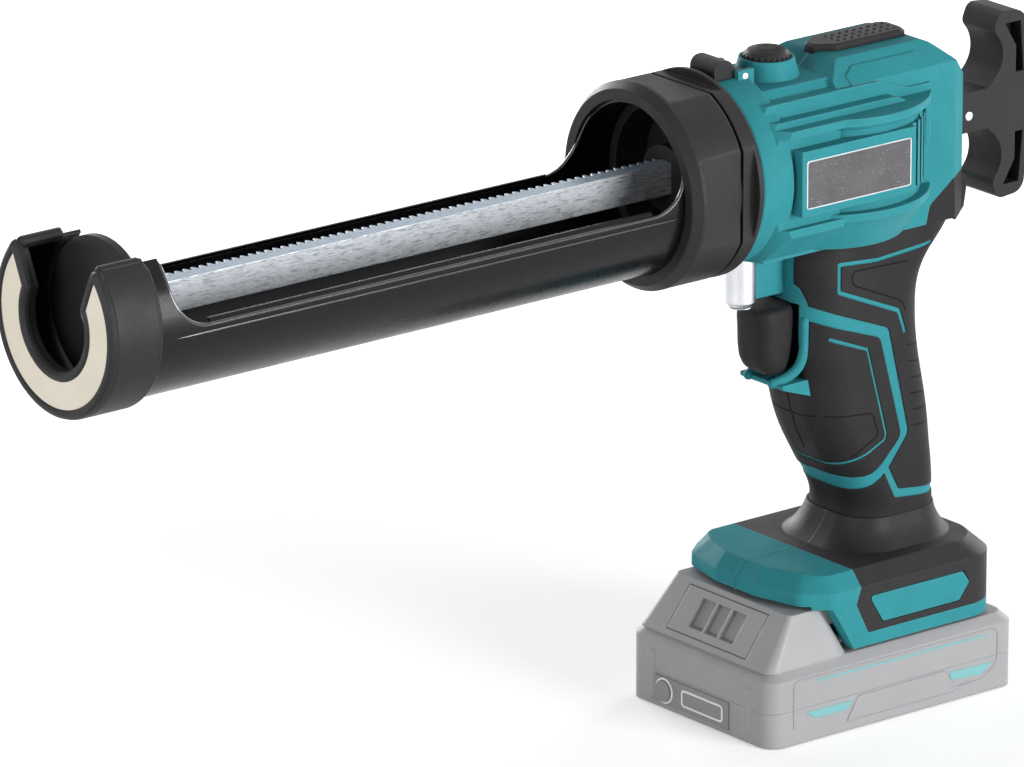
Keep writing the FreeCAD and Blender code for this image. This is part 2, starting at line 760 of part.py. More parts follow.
# Rack: a toothed bar, its teeth on the right side
def rack_bar():
    """The toothed bar's outline from above, one tooth centred on the pinion's axis."""
    slope = math.tan(math.radians(20))
    tip = size("rack_half_width")
    line = tip - size("tooth_addendum")
    root = line - size("tooth_dedendum")
    half = pitch / 4 - size("tooth_backlash") / 4
    low, high = size("rack_front"), size("rack_rear")
    first = math.ceil((low + pitch - pinion_x) / pitch)
    last = math.floor((size("pull_front") - pitch - pinion_x) / pitch)
    corners = [Vector(low, -tip, 0), Vector(high, -tip, 0), Vector(high, tip, 0),
               Vector(size("pull_front"), tip, 0), Vector(size("pull_front"), root, 0)]
    for tooth in range(last, first - 1, -1):
        middle = pinion_x + tooth * pitch
        corners += [Vector(middle + half + (line - root) * slope, root, 0),
                    Vector(middle + half - (tip - line) * slope, tip, 0),
                    Vector(middle - half + (tip - line) * slope, tip, 0),
                    Vector(middle - half - (line - root) * slope, root, 0)]
    corners += [Vector(low, root, 0)]
    face = Part.Face(Part.makePolygon(corners + corners[:1]))
    bar = doc.addObject("Part::Feature", "rack_bar")
    bar.Shape = face.extrude(Vector(0, 0, size("rack_high - rack_low")))
    bar.Placement.Base = Vector(0, 0, size(up("rack_low")))
    return bar


pin_place = ("pull_pin_x", "axis_height")
pin_hole = rod("pull_pin_hole", "Y", "pull_pin_radius", whole, pin_place)
screw_axis = ("0", "axis_height")
rack_hole = rod("rack_screw_hole", "X", "pusher_screw_radius",
                ("rack_front - 1", "rack_front + pusher_screw_length"), screw_axis)
node(cut("rack", rack_bar(), pin_hole, rack_hole), "rack")

# Pusher plate at the front of the rack, held by a screw
hub_rear = "pusher_front + pusher_rim + pusher_hub_length"
plate = turned("pusher_form", [
    ("pusher_front", 0), ("pusher_front", "pusher_radius - 2.5"), ("pusher_front + 1", "pusher_radius"),
    ("pusher_front + pusher_rim", "pusher_radius"), ("pusher_front + pusher_rim", "pusher_radius - 1.5"),
    ("pusher_front + pusher_rim - 1.5", "pusher_hub_radius + 2"),
    ("pusher_front + pusher_rim", "pusher_hub_radius"), (hub_rear, "pusher_hub_radius - 1"), (hub_rear, 0)])
pusher_hole = rod("pusher_screw_hole", "X", "pusher_screw_radius", ("pusher_front - 1", "rack_front + 1"),
                  screw_axis)
node(cut("pusher_plate", plate, rack_passage("pusher_socket", ("rack_front", "0"), "running_gap"), pusher_hole),
     "pusher_plate")
node(fuse("pusher_screw",
          rod("pusher_screw_shank", "X", "pusher_screw_radius",
              ("pusher_front", "rack_front + pusher_screw_length"), screw_axis),
          rod("pusher_screw_top", "X", "pusher_screw_head",
              ("pusher_front - pusher_screw_head_height", "pusher_front"), screw_axis)), "pusher_screw")

# Pull handle: a bar across the rack's end with finger notches and cored sides
middle_rise = "(pull_stem_high + pull_stem_low) / 2"
pull_half = [("pull_front", up("pull_stem_high")), ("pull_hook - 2", up("pull_stem_high"), 3),
             ("pull_notch", up(f"{middle_rise} + pull_notch_rise"), 10),
             ("pull_hook", up(f"{middle_rise} + pull_half_height - 6"), 3),
             ("pull_hook + 2.5", up(f"{middle_rise} + pull_half_height"), 3.5),
             ("pull_rear - 2", up(f"{middle_rise} + pull_half_height - 1"), 5),
             ("pull_rear", up(f"{middle_rise} + pull_notch_rise"), 20)]
pull_other = [("pull_rear", up(f"{middle_rise} - pull_notch_rise"), 20),
              ("pull_rear - 2", up(f"{middle_rise} - pull_half_height + 1"), 5),
              ("pull_hook + 2.5", up(f"{middle_rise} - pull_half_height"), 3.5),
              ("pull_hook", up(f"{middle_rise} - pull_half_height + 6"), 3),
              ("pull_notch", up(f"{middle_rise} - pull_notch_rise"), 10),
              ("pull_hook - 2", up("pull_stem_low"), 3), ("pull_front", up("pull_stem_low"))]
pull_body = prism("pull_body", "XZ", ("-pull_half_width", "pull_half_width"), pull_half + pull_other)
pockets = []
for side, span in (("left", ("-pull_half_width - 1", "pull_pocket_depth - pull_half_width")),
                   ("right", ("pull_half_width - pull_pocket_depth", "pull_half_width + 1"))):
    for end, sign in (("upper", ""), ("lower", "-")):
        inner = f"{middle_rise} + {sign}(pull_notch_rise - 6)"
        mid = f"{middle_rise} + {sign}(pull_notch_rise + 3)"
        outer = f"{middle_rise} + {sign}(pull_half_height - 4.5)"
        pocket = [("pull_notch + pull_wall", up(inner)), ("pull_rear - pull_wall", up(inner)),
                  ("pull_rear - pull_wall - 1.5", up(outer)), ("pull_hook + pull_wall + 2.5", up(outer)),
                  ("pull_notch + pull_wall", up(mid))]
        pockets.append(prism(f"pull_pocket_{side}_{end}", "XZ", span, pocket if sign else pocket[::-1]))
rack_socket = rack_passage("pull_socket", ("0", "rack_rear"), "running_gap")
pin_bore = rod("pull_pin_bore", "Y", "pull_pin_radius", whole, pin_place)
node(cut("pull_handle", pull_body, rack_socket, pin_bore, *pockets), "pull_handle")
node(rod("pull_pin", "Y", "pull_pin_radius", ("-pull_half_width", "pull_half_width"), pin_place), "pull_pin")

# Housing body: terraced sides, a drum with discs for the gears, and a pedestal on top
section = [("belly_half_width", up("belly_low")), ("side_half_width", up("side_low")),
           ("side_half_width", up("shoulder_end_rise")), ("deck_half_width", up("deck_rise"))]


def rear_slope(name, drop):
    """The space above the slope at the body's rear, lowered by a drop."""
    return prism(name, "XZ", ("-far_side", "far_side"), [
        ("pedestal_slope_front", f"pedestal_top - ({drop})"),
        ("2 * body_rear - pedestal_slope_front", f"pedestal_top - 2 * pedestal_slope_drop - ({drop})"),
        ("2 * body_rear - pedestal_slope_front", "far_side"), ("pedestal_slope_front", "far_side")])


body_core = cut("body_core", prism("body_bar", "YZ", ("body_front", "body_rear"), mirrored(section)),
                rear_slope("core_slope", "0"))
shoulder = prism("shoulder", "XZ", ("-shoulder_half_width", "shoulder_half_width"), [
    ("body_front", "axis_height"), ("shoulder_end", "axis_height"), ("shoulder_end", up("shoulder_end_rise")),
    ("shoulder_bend_rear", up("shoulder_end_rise"), 7), ("shoulder_bend_front", up("shoulder_rise"), 9),
    ("body_front", up("shoulder_rise"))])
ledge = prism("ledge", "XZ", ("-ledge_half_width", "ledge_half_width"), [
    ("body_front", "axis_height"), ("ledge_end", "axis_height"), ("ledge_end", up("disc_low"), 1),
    ("ledge_bend_front", up("ledge_rise"), 8), ("body_front", up("ledge_rise"))])
box_section = [("box_under_half_width", up("box_under_low")), ("box_half_width", up("-box_rise")),
               ("box_half_width", up("box_rise")), ("deck_half_width", up("box_rise"))]
box_form = prism("box_form", "YZ", ("box_front", "box_rear"), mirrored(box_section))
recess_z = (up("box_band - box_rise"), up("box_rise - box_band"))
recesses = [block(f"box_recess_{side}", ("box_front", "box_rear + 1"), span, recess_z)
            for side, span in (("left", ("-far_side", "box_recess - box_half_width")),
                               ("right", ("box_half_width - box_recess", "far_side")))]
box = cut("side_box", box_form, *recesses)
drum_axis = ("drum_x", "0")
drum = rod("drum", "Z", "drum_radius", (up("-box_rise"), up("disc_low + 1")), drum_axis)
drum_taper = cone("drum_taper", "Z", ("drum_taper_radius", "disc_radius - disc_edge"),
                  (up("drum_taper_low"), up("-box_rise")), drum_axis)
panel_drum = rod("panel_drum", "Z", "panel_drum_radius", (up("panel_low"), up("panel_high")), drum_axis)
discs = []
for place, low in (("upper", "disc_low"), ("lower", "-box_rise")):
    disc_span = (up(f"{low} + disc_edge"), up(f"{low} + box_rise - disc_low"))
    discs += [rod(f"disc_{place}", "Z", "disc_radius", disc_span, drum_axis),
              cone(f"disc_edge_{place}", "Z", ("disc_radius - disc_edge", "disc_radius"),
                   (up(low), up(f"{low} + disc_edge")), drum_axis)]
label_panel = block("label_panel", ("panel_front", "panel_rear"), ("-panel_half_width", "panel_half_width"),
                    (up("panel_low"), up("panel_high")))
pedestal_section = [("pedestal_base_half_width", "pedestal_base"),
                    ("pedestal_base_half_width", "pedestal_foot"), ("pedestal_half_width", "pedestal_top")]
pedestal_profile = [
    ("pedestal_front - 2", "pedestal_base"), ("body_rear", "pedestal_base"),
    ("body_rear", "pedestal_top - pedestal_slope_drop"), ("pedestal_slope_front", "pedestal_top", 8),
    ("pedestal_front + 4", "pedestal_top", 4), ("pedestal_front - 2", up("deck_rise - 1"))]
pedestal = overlap("pedestal", prism("pedestal_across", "YZ", ("pedestal_front - 2", "body_rear"),
                                     mirrored(pedestal_section)),
                   prism("pedestal_along", "XZ", ("-far_side", "far_side"), pedestal_profile))
facet_section = [(f"{half} + facet_proud", height) for half, height in pedestal_section]
facet = overlap("facet", prism("facet_across", "YZ", ("facet_front", "facet_tip"), mirrored(facet_section)),
                prism("facet_along", "XZ", ("-far_side", "far_side"), [
                    ("facet_front", "facet_high - 2"), ("facet_front", "facet_low"),
                    ("facet_tip - 3", "facet_low", 1), ("facet_tip", "facet_low + 2", 1),
                    ("facet_rear", "facet_high", 2), ("facet_front + 4", "facet_high", 2)]))
dial_boss = cone("dial_boss", "Z", ("boss_base_radius", "boss_top_radius"), (up("deck_rise - 4"), "boss_top"),
                 ("dial_x", "0"))
latch_ledge = block("latch_ledge", ("body_front + 1", "latch_rear + 2"),
                    ("-latch_half_width - latch_ear", "latch_half_width + latch_ear"),
                    (up("deck_rise - 6"), "latch_low - part_gap"))
ears = []
for side, span in (("left", ("-latch_half_width - latch_ear", "-latch_half_width - part_gap")),
                   ("right", ("latch_half_width + part_gap", "latch_half_width + latch_ear"))):
    ears.append(block(f"latch_ear_{side}", ("latch_pin_x - 3", "latch_rear + 2"), span,
                      (up("deck_rise - 6"), "latch_pin_z + 2")))
rear_plan = [("-far_side", "-far_side"), ("rear_chamfer_front", "-far_side"),
             ("rear_chamfer_front", "-rear_chamfer_half_width"), ("body_rear", "-rear_half_width", 3),
             ("body_rear", "rear_half_width", 3), ("rear_chamfer_front", "rear_chamfer_half_width"),
             ("rear_chamfer_front", "far_side"), ("-far_side", "far_side")]
forms = fuse("body_forms", body_core, shoulder, ledge, box, drum, drum_taper, panel_drum, *discs, label_panel,
             pedestal, facet)
flare_depth = "body_rear - flare_front"
flare = turned("body_flare", [
    ("body_front", 0), ("body_front", "front_ring_radius - 1"), ("flare_front", "front_ring_radius - 1"),
    ("body_rear + 1", f"front_ring_radius + {flare_depth}"), ("body_rear + 1", 0)])
body_ring = turned("body_ring", [
    ("body_front", 0), ("body_front", "front_ring_radius - 1"), ("body_front + 1.5", "front_ring_radius"),
    ("body_front + ring_length", "front_ring_radius"), ("body_front + ring_length", 0)])
body_solid = overlap("body_solid", fuse("body_joined", overlap("body_flared", forms, flare), body_ring),
                     prism("body_plan", "XY", ("0", "far_side"), rear_plan))

# Handle: a skin through its sections, with the soft grip as an outer layer
def handle(name, inset):
    """The handle's form, drawn in all round by an inset."""
    return loft(name, [(f"handle_height_{place}",
                        round_corners(f"handle_front_{place} + ({inset})", f"handle_rear_{place} - ({inset})",
                                      f"handle_half_width - ({inset})", f"handle_corner - ({inset})"))
                       for place in range(len(HANDLE_SECTIONS))])


handle_outside = handle("handle_outside", "0")
handle_core = handle("handle_core", "grip_thickness")
handle_space = handle("handle_space", "grip_thickness + handle_wall")
grip_slab = block("grip_slab", whole, whole, ("grip_low", "grip_high"))
tang_zone = prism("tang_zone", "XZ", whole, [
    ("tang_front", "grip_high - 6"), ("far_side", "grip_high - 6"), ("far_side", "tang_high"),
    ("tang_shoulder", "tang_high", 3), ("tang_front + 2", "tang_rise", 3)])
grip_skin = overlap("grip_skin", cut("handle_skin", handle_outside, handle_core),
                    fuse("grip_zone", grip_slab, tang_zone))
INLAYS = {"guard_area": GUARD_AREA, "grip_band": GRIP_BAND, "grip_branch": GRIP_BRANCH,
          "upper_line": UPPER_LINE, "palm_line": PALM_LINE}
inlays = [prism(name, "XZ", whole, corners) for name, corners in INLAYS.items()]
post = block("grip_post", ("-far_side", "-10"), ("-post_half_width", "post_half_width"),
             ("trigger_high", "grip_high"))
hard_zone = fuse("hard_zone", *inlays, post)
tang = prism("tang", "XZ", ("-tang_half_width", "tang_half_width"), [
    ("body_rear - 1", "grip_high - 4"), ("tang_rear - 1.5", "grip_high"), ("tang_rear", "tang_high - 5", 3),
    ("body_rear - 1", "tang_high")])
grip_solid = cut("grip_solid", grip_skin, hard_zone)
handle_hard = cut("handle_hard", handle("handle_inlay", "inlay_depth"), grip_solid)

# Foot: a hollow shoe that the battery slides into from the front, dressed with covers
def foot_plan(inset):
    """The foot's outline from above, drawn in by an inset."""
    return both_sides([
        (f"foot_front + ({inset})", "10", 5),
        (f"foot_front + 4 + ({inset})", f"foot_half_width - 7 - ({inset})", 6),
        ("foot_front + 13", f"foot_half_width - ({inset})", 6),
        (f"foot_rear - ({inset})", f"foot_half_width - ({inset})", "foot_round")])


def foot_form(name, inset):
    """The foot's outside, drawn in by an inset all round and from the top."""
    shoulder = f"foot_shoulder - ({inset})"
    crown = [(shoulder, foot_plan(inset)), (f"foot_top - ({inset})", foot_plan(f"foot_inset + ({inset})"))]
    return fuse(name, prism(f"{name}_wall", "XY", ("foot_low", shoulder), foot_plan(inset)),
                loft(f"{name}_crown", crown, True))


foot_outside = foot_form("foot_outside", "0")
foot_skin = cut("foot_skin_form", foot_outside, foot_form("foot_inside", "foot_skin"))
cover_zone = prism("cover_zone", "XZ", whole, [
    ("cover_front + 3.2", "cover_low"), ("far_side", "cover_low"), ("far_side", "far_side"),
    ("cover_front", "far_side"), ("cover_front", "foot_shoulder"), ("cover_front - 2", "cover_bend")])


def foot_window(name, inset):
    """The six-sided plate let into the foot's side, drawn in by an inset."""
    return prism(name, "XZ", whole, [
        (f"window_front + 5 + {inset}", f"window_low + {inset}", 0.6),
        (f"window_rear - 4.3 - {inset}", f"window_low + {inset}", 0.6),
        (f"window_rear - {inset}", "window_low + 5.8"),
        (f"window_rear - 2.8 - {inset}", f"window_high - {inset}", 0.6),
        (f"window_front + {inset}", f"window_high - {inset}", 0.6),
        (f"window_front + {inset}", "window_high - 1.8")])


neck = loft("neck", [(f"neck_height_{place}",
                      round_corners(f"neck_front_{place}", f"neck_rear_{place}", f"neck_width_{place}",
                                    f"neck_corner_{place}")) for place in range(len(NECK_SECTIONS))])
cover_joined = fuse("cover_joined", overlap("cover_form", foot_skin, cover_zone), neck)
cover_full = cut("cover_full", cover_joined, handle_outside)
halves("foot_cover", cut("foot_cover_solid", cover_full, foot_window("cover_window", "0")))
halves("foot_plate", overlap("foot_plate_form", cover_full, foot_window("plate_form", "part_gap")))
wedge = prism("hump_space", "XZ", whole, [
    ("-far_side", 0), ("hump_back + battery_gap", 0),
    ("hump_back + battery_gap", "battery_top + 1 + battery_gap"),
    ("hump_top_rear + battery_gap / 2", "hump_top + battery_gap"), ("-far_side", "hump_top + battery_gap")])
foot_inner = "foot_half_width - foot_skin - foot_wall"
foot_space = cut("foot_space",
                 block("foot_hollow", ("-far_side", "foot_rear - foot_skin - foot_wall"),
                       (f"-({foot_inner})", foot_inner), ("0", "foot_roof")),
                 *[block(f"foot_rail_{side}", ("hump_back", "far_side"), span, ("rail_low", "rail_high"))
                   for side, span in (("left", (f"-({foot_inner})", "-rail_half_width")),
                                      ("right", ("rail_half_width", foot_inner)))])
wire_way = block("wire_way", ("terminal_front + 4", "terminal_rear"), ("-6", "6"),
                 ("foot_roof - 1", "foot_top + 2"))

# Work light
light_top = f"{up('belly_low')} + 2"
light_axis = ("light_x", "0")
lens_span = ("light_low - 0.6", "light_low - 0.6 + light_lens_height")
light_lens = node(rod("light_lens", "Z", "light_lens_radius", lens_span, light_axis), "light_lens")
light_form = fuse("light_form",
                  rod("light_barrel", "Z", "light_radius", ("light_low + 1.5", light_top), light_axis),
                  cone("light_rim", "Z", ("light_radius - 1", "light_radius"),
                       ("light_low", "light_low + 1.5"), light_axis))
work_light = node(cut("work_light", light_form, light_lens), "work_light")

# Motor, gearbox, switch and boards
motor_axis = ("motor_x", "0")
bell_top = "motor_low + motor_bell_height"
node(rod("motor_end_bell", "Z", "motor_radius", ("motor_low", bell_top), motor_axis), "motor_end_bell")
motor_can = cut("motor_can", rod("motor_tube", "Z", "motor_radius", (bell_top, "motor_high"), motor_axis),
                *[block(f"motor_flat_{side}", whole, span, (f"{bell_top} + 6", "motor_high - 8"))
                  for side, span in (("left", ("-far_side", "1.4 - motor_radius")),
                                     ("right", ("motor_radius - 1.4", "far_side")))])
node(motor_can, "motor_can")
gearbox_edge = "gearbox_high - 2"
node(fuse("gearbox_case",
          rod("gearbox_can", "Z", "gearbox_radius", ("motor_high", gearbox_edge), motor_axis),
          cone("gearbox_nose", "Z", ("gearbox_radius", "gearbox_radius - 4"), (gearbox_edge, "gearbox_high"),
               motor_axis)), "gearbox_case")
plate_x = ("gear_plate_front", "gear_plate_rear")
drum_room = "drum_radius - wall"
lower_plate = overlap("lower_plate_form", block("lower_slab", plate_x, whole, ("lower_plate_low", lower_top)),
                      rod("lower_plate_round", "Z", drum_room, whole, drum_axis))
upper_plate = overlap("upper_plate_form", block("upper_slab", plate_x, whole, ("upper_plate_low", upper_top)),
                      rod("upper_plate_round", "Z", drum_room, whole, drum_axis))
shaft_hole = rod("pinion_shaft_hole", "Z", "shaft_radius + running_gap", ("0", "far_side"), pinion_place)
drive_hole = rod("drive_shaft_hole", "Z", "shaft_radius + running_gap", ("0", "far_side"), motor_axis)
node(cut("gear_plate_lower", lower_plate, shaft_hole, drive_hole), "gear_plate_lower")
upper_hole = rod("pinion_upper_hole", "Z", "shaft_radius + running_gap", ("0", "far_side"), pinion_place)
node(cut("gear_plate_upper", upper_plate, upper_hole), "gear_plate_upper")
shoe_slab = block("shoe_slab", ("gear_plate_front + 4", "gear_plate_rear - 8"),
                  ("-far_side", "-rack_half_width - running_gap"), (up("rack_low + 1"), up("rack_high - 1")))
node(overlap("rack_shoe", shoe_slab, rod("shoe_round", "Z", drum_room, whole, drum_axis)), "rack_shoe")
switch_z = ("switch_low", "switch_high")
switch_y = ("-switch_half_width", "switch_half_width")
node(block("switch_body", ("switch_front", "switch_rear"), switch_y, switch_z), "switch_body")
node(block("control_board", ("board_front", "board_rear"), ("-board_half_width", "board_half_width"),
           ("board_low", "board_low + board_thickness")), "control_board")
pot_low = "board_low + board_thickness"
pot_high = f"{pot_low} + pot_height"
node(block("speed_sensor", ("dial_x - pot_half_width", "dial_x + pot_half_width"),
           ("-pot_half_width", "pot_half_width"), (pot_low, pot_high)), "speed_sensor")

# Controls on top
dial_axis = ("dial_x", "0")
dial_form = fuse("dial_form",
                 rod("dial_skirt", "Z", "dial_radius", ("dial_low", "dial_high - 2"), dial_axis),
                 cone("dial_shoulder", "Z", ("dial_radius", "dial_radius - 1.6"),
                      ("dial_high - 2", "dial_high - 0.7"), dial_axis),
                 cone("dial_crown", "Z", ("dial_radius - 1.6", "dial_radius - 4.6"),
                      ("dial_high - 0.7", "dial_high"), dial_axis),
                 rod("dial_stem", "Z", "dial_stem_radius", (pot_high, "dial_low"), dial_axis))
dial_cuts = []
for rib in range(int(size("dial_ribs"))):
    turn = f"{rib} * 360 / dial_ribs * 1 deg"
    dial_cuts.append(rod(f"dial_groove_{rib}", "Z", "dial_rib_radius", ("dial_high - 3.6", "dial_high + 1"),
                         (f"dial_x + dial_radius * cos({turn})", f"dial_radius * sin({turn})")))
node(cut("speed_dial", dial_form, *dial_cuts), "speed_dial")


def pad_plan(margin):
    """The release pad's outline from above, widened by a margin."""
    half_width = f"pad_half_width + ({margin})"
    return both_sides([(f"pad_front - ({margin})", "pad_nose", 1), ("pad_front + pad_taper", half_width, 5),
                       (f"pad_rear + ({margin})", half_width, "pad_corner")])


pad_rim = "pedestal_top + pad_proud - pad_edge"
pad_crown = [(pad_rim, pad_plan("0")), ("pedestal_top + pad_proud", pad_plan("-pad_edge"))]
node(fuse("release_pad", prism("pad_body", "XY", ("pedestal_top - pad_depth", pad_rim), pad_plan("0")),
          loft("pad_crown", pad_crown, True)), "release_pad")
pad_space = prism("pad_space", "XY", ("pedestal_top - pad_depth - pad_travel - part_gap", "pedestal_top + 1"),
                  pad_plan("part_gap"))
latch_width = ("-latch_half_width", "latch_half_width")
fin_rear = "latch_front + latch_fin"
latch_form = prism("latch_form", "XZ", latch_width, [
    ("latch_front", "latch_low"), ("latch_rear", "latch_low", 1.5), ("latch_rear", "latch_pin_z + 2", 1.5),
    (f"{fin_rear} + 1", "latch_pin_z + 2", 2), (fin_rear, "latch_high", "latch_fin_round"),
    ("latch_front", "latch_high", "latch_fin_round")])
latch_pin_place = ("latch_pin_x", "latch_pin_z")
node(cut("barrel_latch", latch_form,
         rod("latch_bore", "Y", "latch_pin_radius + running_gap", whole, latch_pin_place)), "barrel_latch")
latch_pin_span = ("-latch_half_width - latch_ear", "latch_half_width + latch_ear")
latch_pin = node(rod("latch_pin", "Y", "latch_pin_radius", latch_pin_span, latch_pin_place), "latch_pin")

# Trigger
trigger_span = ("-trigger_half_width", "trigger_half_width")
trigger_side = prism("trigger_side", "XZ", trigger_span, [
    ("trigger_rear", "trigger_low"), ("trigger_rear", "trigger_high"), ("trigger_front", "trigger_high", 1.5),
    ("trigger_waist", "(trigger_low + trigger_high) / 2 + 3", 14),
    ("trigger_front + 0.6", "trigger_low + 6.6", 3.5), ("trigger_toe", "trigger_low", 2)])
trigger_top = [("trigger_front - 0.5", "trigger_half_width", 5), ("trigger_rear", "trigger_half_width")]
trigger_plan = prism("trigger_plan", "XY", ("trigger_low - 1", "trigger_high + 1"), both_sides(trigger_top))
node(overlap("trigger", trigger_side, trigger_plan), "trigger")
trigger_space = block("trigger_space", ("-far_side", "trigger_rear + trigger_travel + part_gap"),
                      ("-trigger_half_width - part_gap", "trigger_half_width + part_gap"),
                      ("trigger_low - part_gap", "trigger_high + part_gap"))
guard_top = "trigger_low - part_gap"
guard = prism("trigger_guard", "XZ", ("-guard_half_width", "guard_half_width"), [
    ("guard_front", f"{guard_top} - guard_thickness / 2", 1),
    ("handle_front_6 + 3", f"{guard_top} - 2 * guard_thickness"),
    ("handle_front_6 + 3", guard_top), ("guard_front", guard_top)])

# Screws, all driven from the right side
SCREWS = {"front": ("body_screw_front", "body_screw_low", "body_screw_seat"),
          "middle": ("body_screw_middle", "body_screw_high", "body_screw_seat"),
          "rear_low": ("body_screw_rear", "body_screw_low", "rear_screw_seat"),
          "rear_high": ("body_screw_rear", "body_screw_high", "rear_screw_seat"),
          "handle": ("handle_screw_x", "handle_screw_z", "handle_screw_seat"),
          "palm": ("palm_screw_x", "palm_screw_z", "handle_screw_seat")}
screws, screw_bosses, screw_holes = [], [], {}
for place, (x, z, seat) in SCREWS.items():
    shank = rod(f"screw_shank_{place}", "Y", "screw_radius", ("screw_tip", seat), (x, z))
    head = rod(f"screw_head_{place}", "Y", "screw_head_radius", (seat, f"{seat} + screw_head_height"), (x, z))
    screws.append(fuse(f"screw_{place}", shank, head))
    screw_bosses.append(rod(f"screw_boss_{place}", "Y", "screw_boss_radius", whole, (x, z)))
    screw_holes[place] = fuse(
        f"screw_hole_{place}",
        rod(f"screw_bore_{place}", "Y", "screw_radius + running_gap",
            ("screw_tip - part_gap", f"{seat} + 1"), (x, z)),
        rod(f"screw_well_{place}", "Y", "screw_head_radius + running_gap", (seat, "far_side"), (x, z)))
screw_group = doc.addObject("Part::Compound", "housing_screws")
screw_group.Links = screws
node(screw_group, "housing_screws")

# Housing: hollow halves around the internals, with ribs and bosses left standing
hollow_bar = prism("hollow_bar", "YZ", ("guide_rear", "rear_cover_front"), mirrored([
    ("belly_half_width - wall", up("belly_low + wall")),
    ("side_half_width - wall", up("side_low + wall / 2")),
    ("side_half_width - wall", up("shoulder_end_rise - wall / 2")),
    ("deck_half_width - wall / 2", up("deck_rise - wall"))]))
box_room = "box_half_width - box_recess - wall"
body_hollow = fuse("body_hollow", cut("bar_hollow", hollow_bar, rear_slope("hollow_slope", "1.4 * wall")),
                   block("box_hollow", ("guide_rear + 2 * wall", "drum_x"), (f"-({box_room})", box_room),
                         (up("wall - box_rise"), up("box_rise - wall"))),
                   rod("drum_hollow", "Z", drum_room, (up("-box_rise"), up("drum_hollow_high")), drum_axis),
                   cone("taper_hollow", "Z", ("drum_taper_radius - wall", drum_room),
                        (up("drum_taper_low + wall"), up("-box_rise")), drum_axis))
posts = [rod(f"board_post_{side}", "Z", "1.8", (pot_low, up("deck_rise")), ("board_front + 3", y))
         for side, y in (("left", "3 - board_half_width"), ("right", "board_half_width - 3"))]
motor_ribs = cut("motor_ribs", fuse("motor_rib_slabs", *[
    block(f"motor_rib_{place}", whole, whole, (low, f"{low} + handle_wall"))
    for place, low in (("low", f"{bell_top} + 1"), ("high", "motor_high - 6"))]),
    rod("motor_seat", "Z", "motor_radius + running_gap", ("0", "far_side"), motor_axis))
switch_rest = cut("switch_rest",
                  rod("switch_boss", "Y", "4", whole,
                      ("(switch_front + switch_rear) / 2", "(switch_low + switch_high) / 2")),
                  block("switch_gap", whole, ("-switch_half_width", "switch_half_width"), whole))
spaces = cut("housing_spaces", fuse("housing_hollow", body_hollow, handle_space),
             motor_ribs, switch_rest, *posts, *screw_bosses)
guide_seat = rod("guide_seat", "X", bore_radius, ("-far_side", "guide_rear"), axis)
dial_space = fuse("dial_space",
                  rod("dial_well", "Z", "dial_radius + part_gap", ("dial_low - part_gap", "far_side"),
                      dial_axis),
                  rod("dial_bore", "Z", "dial_stem_radius + running_gap", (pot_high, "far_side"), dial_axis))
plate_y = "panel_half_width - plate_thickness"
plate_span_x = ("plate_front", "plate_rear")
plate_span_z = (up("plate_low"), up("plate_high"))
plates = [node(block(f"name_plate_{side}", plate_span_x, span, plate_span_z), f"name_plate_{side}")
          for side, span in (("left", ("-panel_half_width", f"-({plate_y})")),
                             ("right", (plate_y, "panel_half_width")))]
vents = []
for index in range(int(size("vent_count"))):
    x = f"vent_first + {index} * vent_pitch"
    floor = f"sqrt(panel_drum_radius ^ 2 - ({x} + vent_width - drum_x) ^ 2) - vent_depth"
    for side, span in (("left", ("-far_side", f"-({floor})")), ("right", (floor, "far_side"))):
        vents.append(block(f"vent_{side}_{index}", (x, f"{x} + vent_width"), span,
                           (up("panel_low - 1"), up("panel_high + 1"))))
latch_space = block("latch_space", ("-far_side", "latch_rear + 1"),
                    ("-latch_half_width - part_gap", "latch_half_width + part_gap"),
                    ("latch_low - part_gap", "far_side"))
rear_zone = block("rear_zone", ("rear_cover_front", "far_side"), whole, (up("belly_low"), "far_side"))
tang_corner = cut("tang_corner", overlap("tang_block", body_solid, tang_zone), handle_outside, spaces,
                  screw_holes["rear_low"])
tang_skin = overlap("tang_skin", grip_solid, tang_zone)
housing_outside = fuse("housing_outside", body_solid, handle_hard, dial_boss, latch_ledge, *ears, guard,
                       cut("foot_hard", foot_outside, cover_full))
housing = cut("housing", housing_outside, spaces, guide_seat, dial_space, pad_space, trigger_space, wedge,
              foot_space, wire_way, work_light, latch_pin, latch_space, rear_zone, tang_skin, tang_corner,
              *plates, *vents, *screw_holes.values())
halves("housing", housing)
rear_hollow = block("rear_hollow", ("0", "body_rear - wall"),
                    ("wall - rear_half_width", "rear_half_width - wall"),
                    (up("side_low + wall"), up("shoulder_end_rise - 2 * wall")))
rear_form = cut("rear_form", overlap("rear_block", body_solid, rear_zone), handle_outside, tang_zone,
                rear_hollow, rack_passage("rear_passage", whole, "running_gap"))
node(rear_form, "rear_cover")
tang_trim = cut("tang_trim", tang, body_solid)
halves("grip", cut("grip_form", fuse("grip_all", grip_solid, tang_corner, tang_trim), guard, trigger_space,
                   screw_holes["handle"], screw_holes["palm"]))

# Terminal block and blades in the foot
node(block("terminal_block", ("terminal_front", "terminal_rear"),
           ("-terminal_half_width", "terminal_half_width"), ("terminal_low", "foot_roof")), "terminal_block")
blades = [block(f"blade_{place}", ("terminal_front + 3", "terminal_rear - 4"),
                (f"{place} * blade_pitch - blade_thickness / 2",
                 f"{place} * blade_pitch + blade_thickness / 2"),
                ("blade_low", "terminal_low")) for place in (-1, 0, 1)]
blade_group = doc.addObject("Part::Compound", "terminal_blades")
blade_group.Links = blades
node(blade_group, "terminal_blades")

